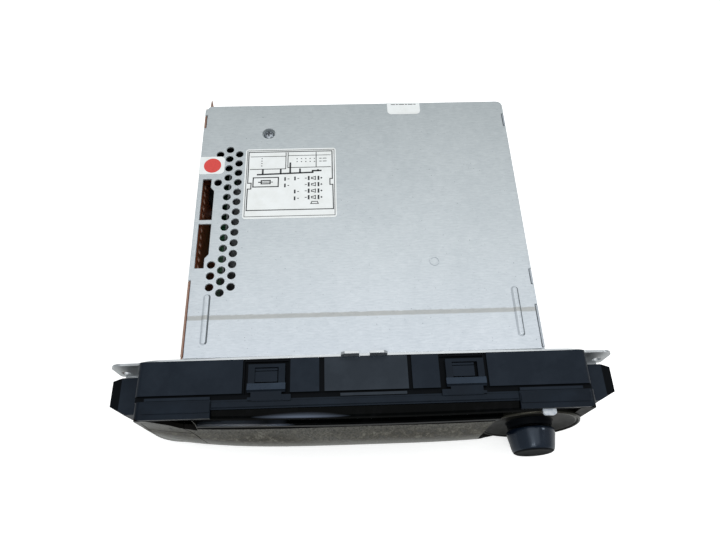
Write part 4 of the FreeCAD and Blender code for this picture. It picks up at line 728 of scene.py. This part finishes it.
def wiring_diagram():
    """Generic plug diagram on the lid's label: a frame, sockets, pin marks and a busbar, with no words."""
    place, w, h = on_label("wiring_label")
    bm = bmesh.new()
    thin, thick, dot = 0.44, 1.0, 0.55
    frame_line = [(1.8, 2.2), (w - 2.2, 2.2), (w - 2.2, 21.5), (w - 3.6, 21.5), (w - 3.6, 25.5),
                  (w - 2.0, 25.5), (w - 1.8, h - 5.4), (2.0, h - 5.4), (2.0, 27.5), (3.9, 27.5),
                  (3.9, 23.6), (2.0, 23.6), (1.8, 2.2)]
    strokes(bm, frame_line, thin * 1.3, place)
    strokes(bm, rectangle(1.0, 1.1, w - 1.0, h - 1.4), thin * 0.8, place)
    # Two fields at the rear
    strokes(bm, [(3.0, 14.2), (23.2, 14.2), (23.2, 3.0)], thin, place)
    strokes(bm, [(3.0, 5.4), (23.2, 5.4)], thin * 0.8, place)
    strokes(bm, [(24.4, 3.0), (24.4, 13.4), (w - 3.2, 13.4)], thin, place)
    strokes(bm, [(24.4, 5.0), (w - 3.2, 5.0)], thin * 0.8, place)
    strokes(bm, [(40.6, 3.0), (40.6, 13.4)], thin, place)
    # Busbar with its taps
    strokes(bm, [(7.4, 17.9), (38.6, 17.0), (38.6, 15.9), (43.2, 15.9)], thick, place)
    for x, reach in ((10.2, 2.9), (20.4, 3.1), (25.8, 7.2), (31.4, 2.9), (41.6, 2.1)):
        stroke(bm, (x, 17.6 - reach), (x, 17.2 if x < 38 else 15.8), thick, place)
    # Fuse symbol in its box
    strokes(bm, rectangle(5.0, 20.0, 19.2, 26.2), thin * 1.5, place)
    strokes(bm, [(8.2, 23.1), (9.6, 23.1)], thin * 1.5, place)
    strokes(bm, rectangle(9.6, 22.0, 14.6, 24.2), thin * 1.5, place)
    strokes(bm, [(9.6, 23.1), (16.0, 23.1)], thin, place)
    # Four loudspeakers, each between two pins with a minus and a plus
    for row in range(4):
        y = 20.9 + row * 4.3
        for x in (36.4, 41.9):
            stroke(bm, (x, y - 0.9), (x, y + 0.9), thick, place)
        strokes(bm, [(38.0, y - 0.5), (38.8, y - 0.5), (40.2, y - 1.1), (40.2, y + 1.1), (38.8, y + 0.5),
                     (38.0, y + 0.5), (38.0, y - 0.5)], thin, place)
        stroke(bm, (34.4, y), (35.1, y), thin, place)
        stroke(bm, (43.2, y), (43.9, y), thin, place)
        stroke(bm, (43.55, y - 0.35), (43.55, y + 0.35), thin, place)
    for x, y in ((23.0, 21.2), (23.0, 25.6), (28.6, 21.0), (28.6, 29.8), (28.6, 34.3)):
        stroke(bm, (x, y - 0.8), (x, y + 0.8), thick * 0.9, place)
        stroke(bm, (x + 1.6, y), (x + 2.2, y), thin, place)
    strokes(bm, [(37.6, h - 9.0), (38.2, h - 10.4), (41.2, h - 10.4), (41.8, h - 9.0), (37.6, h - 9.0)],
            thin, place)
    # Pin marks and short bars in the rear fields
    for i in range(4):
        stroke(bm, (9.4, 6.8 + 1.7 * i), (9.5, 6.8 + 1.7 * i), dot, place)
    for i in range(5):
        for j in range(2):
            stroke(bm, (29.6 + 2.5 * i, 7.3 + 2.1 * j), (29.7 + 2.5 * i, 7.3 + 2.1 * j), dot, place)
    for j in range(2):
        for left, right in ((42.6, 43.6), (44.6, 46.4)):
            stroke(bm, (left, 7.3 + 2.0 * j), (right, 7.3 + 2.0 * j), thin, place)
    finish_mesh(bm, "wiring_diagram_print", INK_BLACK, body="unit")


def seal_disc():
    """Plain red disc on the seal sticker."""
    top = span("seal_sticker")[1].z
    r = 4.9
    bm = bmesh.new()
    turned(bm, [(0.0, PRINT_LIFT), (r, PRINT_LIFT), (r, 0.0), (0.0, 0.0)], (-82.7, 114.3, top), Z, 40)
    finish_mesh(bm, "seal_disc_print", INK_RED, body="unit")


def rear_label_marks():
    """A few small generic bars along the rear edge of the folded label, with no words."""
    place = on_label("rear_label")[0]
    bm = bmesh.new()
    for left, right in ((2.6, 4.6), (5.6, 6.4), (7.4, 10.2), (11.2, 12.0), (13.0, 15.4), (16.4, 17.2)):
        stroke(bm, (left, 1.5), (right, 1.5), 0.5, place)
    finish_mesh(bm, "rear_label_print", INK_BLACK, body="unit")


# Plastic front

def loop_pads():
    """The catch that shows through the window of each snap loop, with two fine grooves."""
    bm = bmesh.new()
    for low_x in (-53.6, 42.2):
        for low_y, high_y in ((-12.6, -7.3), (-7.0, -5.8), (-5.5, -4.5)):
            block(bm, (low_x, low_y, 15.8), (low_x + 11.4, high_y, 17.4), 0.1)
    finish_mesh(bm, "loop_pads", FRONT_ABS, body="unit")


def dial_dish():
    """Dished ring: a dark olive dish, darkened further as painted shade, whose rim has two chromed lips, and a
    raised collar under the knob painted near black as shade.
    """
    bm = bmesh.new()
    profile = [(4.2, -4.7), (23.4, -4.7), (23.4, -2.3), (25.4, -2.2), (25.5, -0.9), (25.3, -0.3),
               (24.9, -0.02), (24.5, -0.1), (24.15, -0.5), (23.8, -0.9), (23.4, -0.75), (22.9, -0.55),
               (22.2, -0.7), (20.0, -1.3), (15.5, -1.95), (12.2, -2.0), (11.6, -1.7), (11.4, -0.6),
               (11.1, 1.2), (10.6, 1.4), (4.2, 1.4), (4.2, -4.7)]
    turned(bm, profile, DIAL_AT, DIAL_AXIS, 96)
    for face in bm.faces:
        distance = (face.calc_center_median() / MM - Vector(DIAL_AT)).cross(DIAL_AXIS).length
        on_lip = 22.6 < distance < 23.6 or 24.5 < distance < 25.4
        # The collar is painted near black as shade, and the dish is darkened as shade.
        face.material_index = 0 if on_lip else 1 if distance > 12.4 else 2
    finish_mesh(bm, "dial_dish", (DIAL_LIP, DISH_WITH_SHADE, PAINTED_SHADE_BLACK), node="dial_ring", sharp=50)


def volume_knob_cap():
    """Tapered satin cap with a soft front edge and a shallow dish in front."""
    bm = bmesh.new()
    foot = 2.7
    outline = [(3.2, 0.0), (11.9, 0.0), (12.15, 0.25), (12.1, 1.6), (12.0, 2.6), (11.5, 5.0), (10.95, 8.0),
               (10.55, 9.6), (10.1, 10.4), (9.4, 10.85), (8.5, 11.0), (7.6, 10.9), (6.0, 10.6), (0.0, 10.4)]
    turned(bm, [(r, foot + h) for r, h in outline], DIAL_AT, DIAL_AXIS, 72)
    # The knob's flat front is painted near black as shade.
    for face in bm.faces:
        face.material_index = int(face.normal.dot(DIAL_AXIS) > 0.75)
    finish_mesh(bm, "volume_knob_cap", (KNOB_SATIN, PAINTED_SHADE_BLACK), node="volume_knob", sharp=60)


# Keys and their prints

KEY_EDGE = 0.35
IN_FRONT = -100.0
NUMERAL_HEIGHT, NUMERAL_INSET = 3.4, 4.0
ARROW_X, ARROW_SIZE = -95.0, 1.3
ARROWS = ((0, 1.5), (90, 0.0), (0, 0.0), (180, 0.0))   # turn in degrees and how far below the key's middle


def print_on(piece, bm, name):
    """Lay a flat shape, drawn in X and Z, on the front of a key that it rides with."""
    surface = bmesh.new()
    surface.from_mesh(piece.data)
    tree = BVHTree.FromBMesh(surface)
    surface.free()
    for vert in bm.verts:
        hit = tree.ray_cast(Vector((vert.co.x, IN_FRONT * MM, vert.co.z)), Y)[0]
        if hit:
            vert.co.y += hit.y - PRINT_LIFT * MM
    finish_mesh(bm, name + "_print", INK_BLACK, body=BODY_OF[name])


def stand_up(bm, x, z):
    """Turn a shape drawn in X and Y up to face the front, at its place in X and Z."""
    bmesh.ops.rotate(bm, verts=bm.verts, cent=(0, 0, 0), matrix=Matrix.Rotation(pi / 2, 3, "X"))
    bmesh.ops.translate(bm, vec=Vector((x, 0, z)) * MM, verts=bm.verts)


def numeral(text, x, z):
    """A plain numeral as a mesh that faces the front."""
    curve = bpy.data.curves.new("numeral", "FONT")
    curve.body = text
    curve.size = NUMERAL_HEIGHT * MM
    curve.align_x = "CENTER"
    curve.align_y = "CENTER"
    temp = bpy.data.objects.new("numeral", curve)
    scene.collection.objects.link(temp)
    mesh = bpy.data.meshes.new_from_object(temp)
    bpy.data.objects.remove(temp)
    bm = bmesh.new()
    bm.from_mesh(mesh)
    stand_up(bm, x, z)
    return bm


def arrow(x, z, turn):
    """A small triangle that points up before it is turned."""
    bm = bmesh.new()
    bmesh.ops.create_circle(bm, segments=3, radius=ARROW_SIZE * MM, cap_ends=True)
    bmesh.ops.rotate(bm, verts=bm.verts, cent=(0, 0, 0), matrix=Matrix.Rotation(radians(turn), 3, "Z"))
    stand_up(bm, x, z)
    return bm


def face_keys():
    """The silver keys: numerals on the six presets, arrows on the four at the left."""
    for i in range(6):
        node = "preset_key_%d" % (i + 1)
        key = rounded(node, SILVER, KEY_EDGE, others=(KEY_BLACK_AND_SHADE,), where=unpainted_and_shade)
        low, high = span(node)
        x = low.x + NUMERAL_INSET if i < 3 else high.x - NUMERAL_INSET
        print_on(key, numeral(str(i + 1), x, (low.z + high.z) / 2), node)
    for i, (turn, drop) in enumerate(ARROWS):
        node = "left_key_%d" % (i + 1)
        key = rounded(node, SILVER, KEY_EDGE, others=(KEY_BLACK_AND_SHADE,), where=unpainted_and_shade)
        low, high = span(node)
        print_on(key, arrow(ARROW_X, (low.z + high.z) / 2 - drop, turn), node)


# Studio, in metres and watts

FLOOR_HALF, FLOOR_GLOW = 3.0, 0.55
SKY_COLOUR, SKY_STRENGTH = (0.93, 0.97, 1.0, 1), 0.5
LAMPS = (
    ("softbox_above", (0.05, 0.3, 1.4), (1.5, 1.5), 7.3),
    ("window_above", (-0.12, -0.43, 1.25), (0.26, 0.06), 1.9),
    ("window_low", (-0.36, -0.82, 1.25), (0.26, 0.05), 1.2),
    ("window_right", (1.0, 0.15, 0.8), (0.2, 0.2), 1.1),
)


def floor_and_light():
    """Pale floor that keeps the shadow, a soft sky, and a large softbox with three small windows beside it."""
    bm = bmesh.new()
    bmesh.ops.create_grid(bm, x_segments=1, y_segments=1, size=FLOOR_HALF)
    bmesh.ops.translate(bm, vec=(0, 0, cad_box[0][2]), verts=bm.verts)
    mesh = bpy.data.meshes.new("floor")
    bm.to_mesh(mesh)
    bm.free()
    floor = bpy.data.objects.new("floor", mesh)
    scene.collection.objects.link(floor)
    material, tree, shader, _ = start("matt_white_floor", "#F4F4F2", 0.9, Emission_Color=(1, 1, 1, 1))
    seen = add(tree, "LightPath").outputs["Is Camera Ray"]
    tree.links.new(work_out(tree, "MULTIPLY", seen, FLOOR_GLOW), shader.inputs["Emission Strength"])
    mesh.materials.append(material)
    world = bpy.data.worlds.new("soft_sky")
    world.use_nodes = True
    sky = world.node_tree.nodes["Background"]
    sky.inputs["Color"].default_value = SKY_COLOUR
    sky.inputs["Strength"].default_value = SKY_STRENGTH
    scene.world = world
    for name, at, size, power in LAMPS:
        data = bpy.data.lights.new(name, "AREA")
        data.shape = "RECTANGLE"
        data.size, data.size_y = size
        data.energy = power
        lamp = bpy.data.objects.new(name, data)
        scene.collection.objects.link(lamp)
        lamp.location = at
        lamp.rotation_euler = (-Vector(at)).to_track_quat("-Z", "Y").to_euler()
    scene.view_settings.view_transform = "Standard"


photo_camera()
floor_and_light()
top_cover_sheet()
cover_screw_head()
wiring_diagram()
seal_disc()
loop_pads()
for label_node, label_corner in (("wiring_label", 1.6), ("seal_sticker", 2.5), ("rear_label", 2.5)):
    label(label_node, label_corner)
rear_label_marks()
rounded("front_bracket", BRACKET_TIN, 0.18)
rounded("front_frame", FRONT_ABS, 0.3, others=(PAINTED_SHADE_BLACK, FRONT_RUBBED), where=sunk_in_frame)
rounded("face_carrier", LATCH_ABS, 0.25, others=(LATCH_BAR_LIT,), where=latch_bar)
rounded("faceplate", SILVER, 0.3, others=(KEY_BLACK_AND_SHADE,), where=unpainted_and_shade)
rounded("display_lens", LENS, 0.2)
rounded("slot_bezel", GLOSS, 0.3, sharp=10.0, others=(GLOSS_EDGE,), where=lower_lip_slope)
rounded("light_guide", FROST, 0.3)
rounded("chassis_tub", CASE_SHEET, 0.25)
rounded("side_plate", FADED_PLATE, 0.15, others=(YELLOW_PLATE,), where=inner_side)
rounded("connector_block", CHIP_EPOXY, 0.25)
rounded("blade_fuse", FUSE_RED, 0.2)
rounded("aerial_socket", NICKEL, 0.2)
rounded("dust_flap", POM_BLACK, 0.15)
rounded("deck_frame", DRIVE_SHEET, 0.15)
dial_dish()
volume_knob_cap()
face_keys()
coat(DRIVE_SHEET, "deck_rails", "clamp_arm")
coat(SCREW_ZINC, "chassis_screws", "amplifier_clamp")
coat(NICKEL, "encoder_body", "encoder_shaft", "guide_rods", "tuner_can")
coat(NICKEL, "spindle_motor", "sled_motor", "loading_motor")
coat(BRASS, "sled_pinion", "loading_pinion")
coat(TIN, "connector_pins")
coat(POM_BLACK, "disc_guide", "turntable", "pickup_sled", "roller_cradle")
coat(POM_WHITE, "clamp_puck", "leadscrew", "encoder_plunger")
coat(CHIP_EPOXY, "board_components", "amplifier_chip", "display_module")
coat(DARK_RUBBER, "deck_dampers", "loading_roller")
coat(SILICONE, "keypad_mat")
coat(BOARD, "main_board", "front_board")
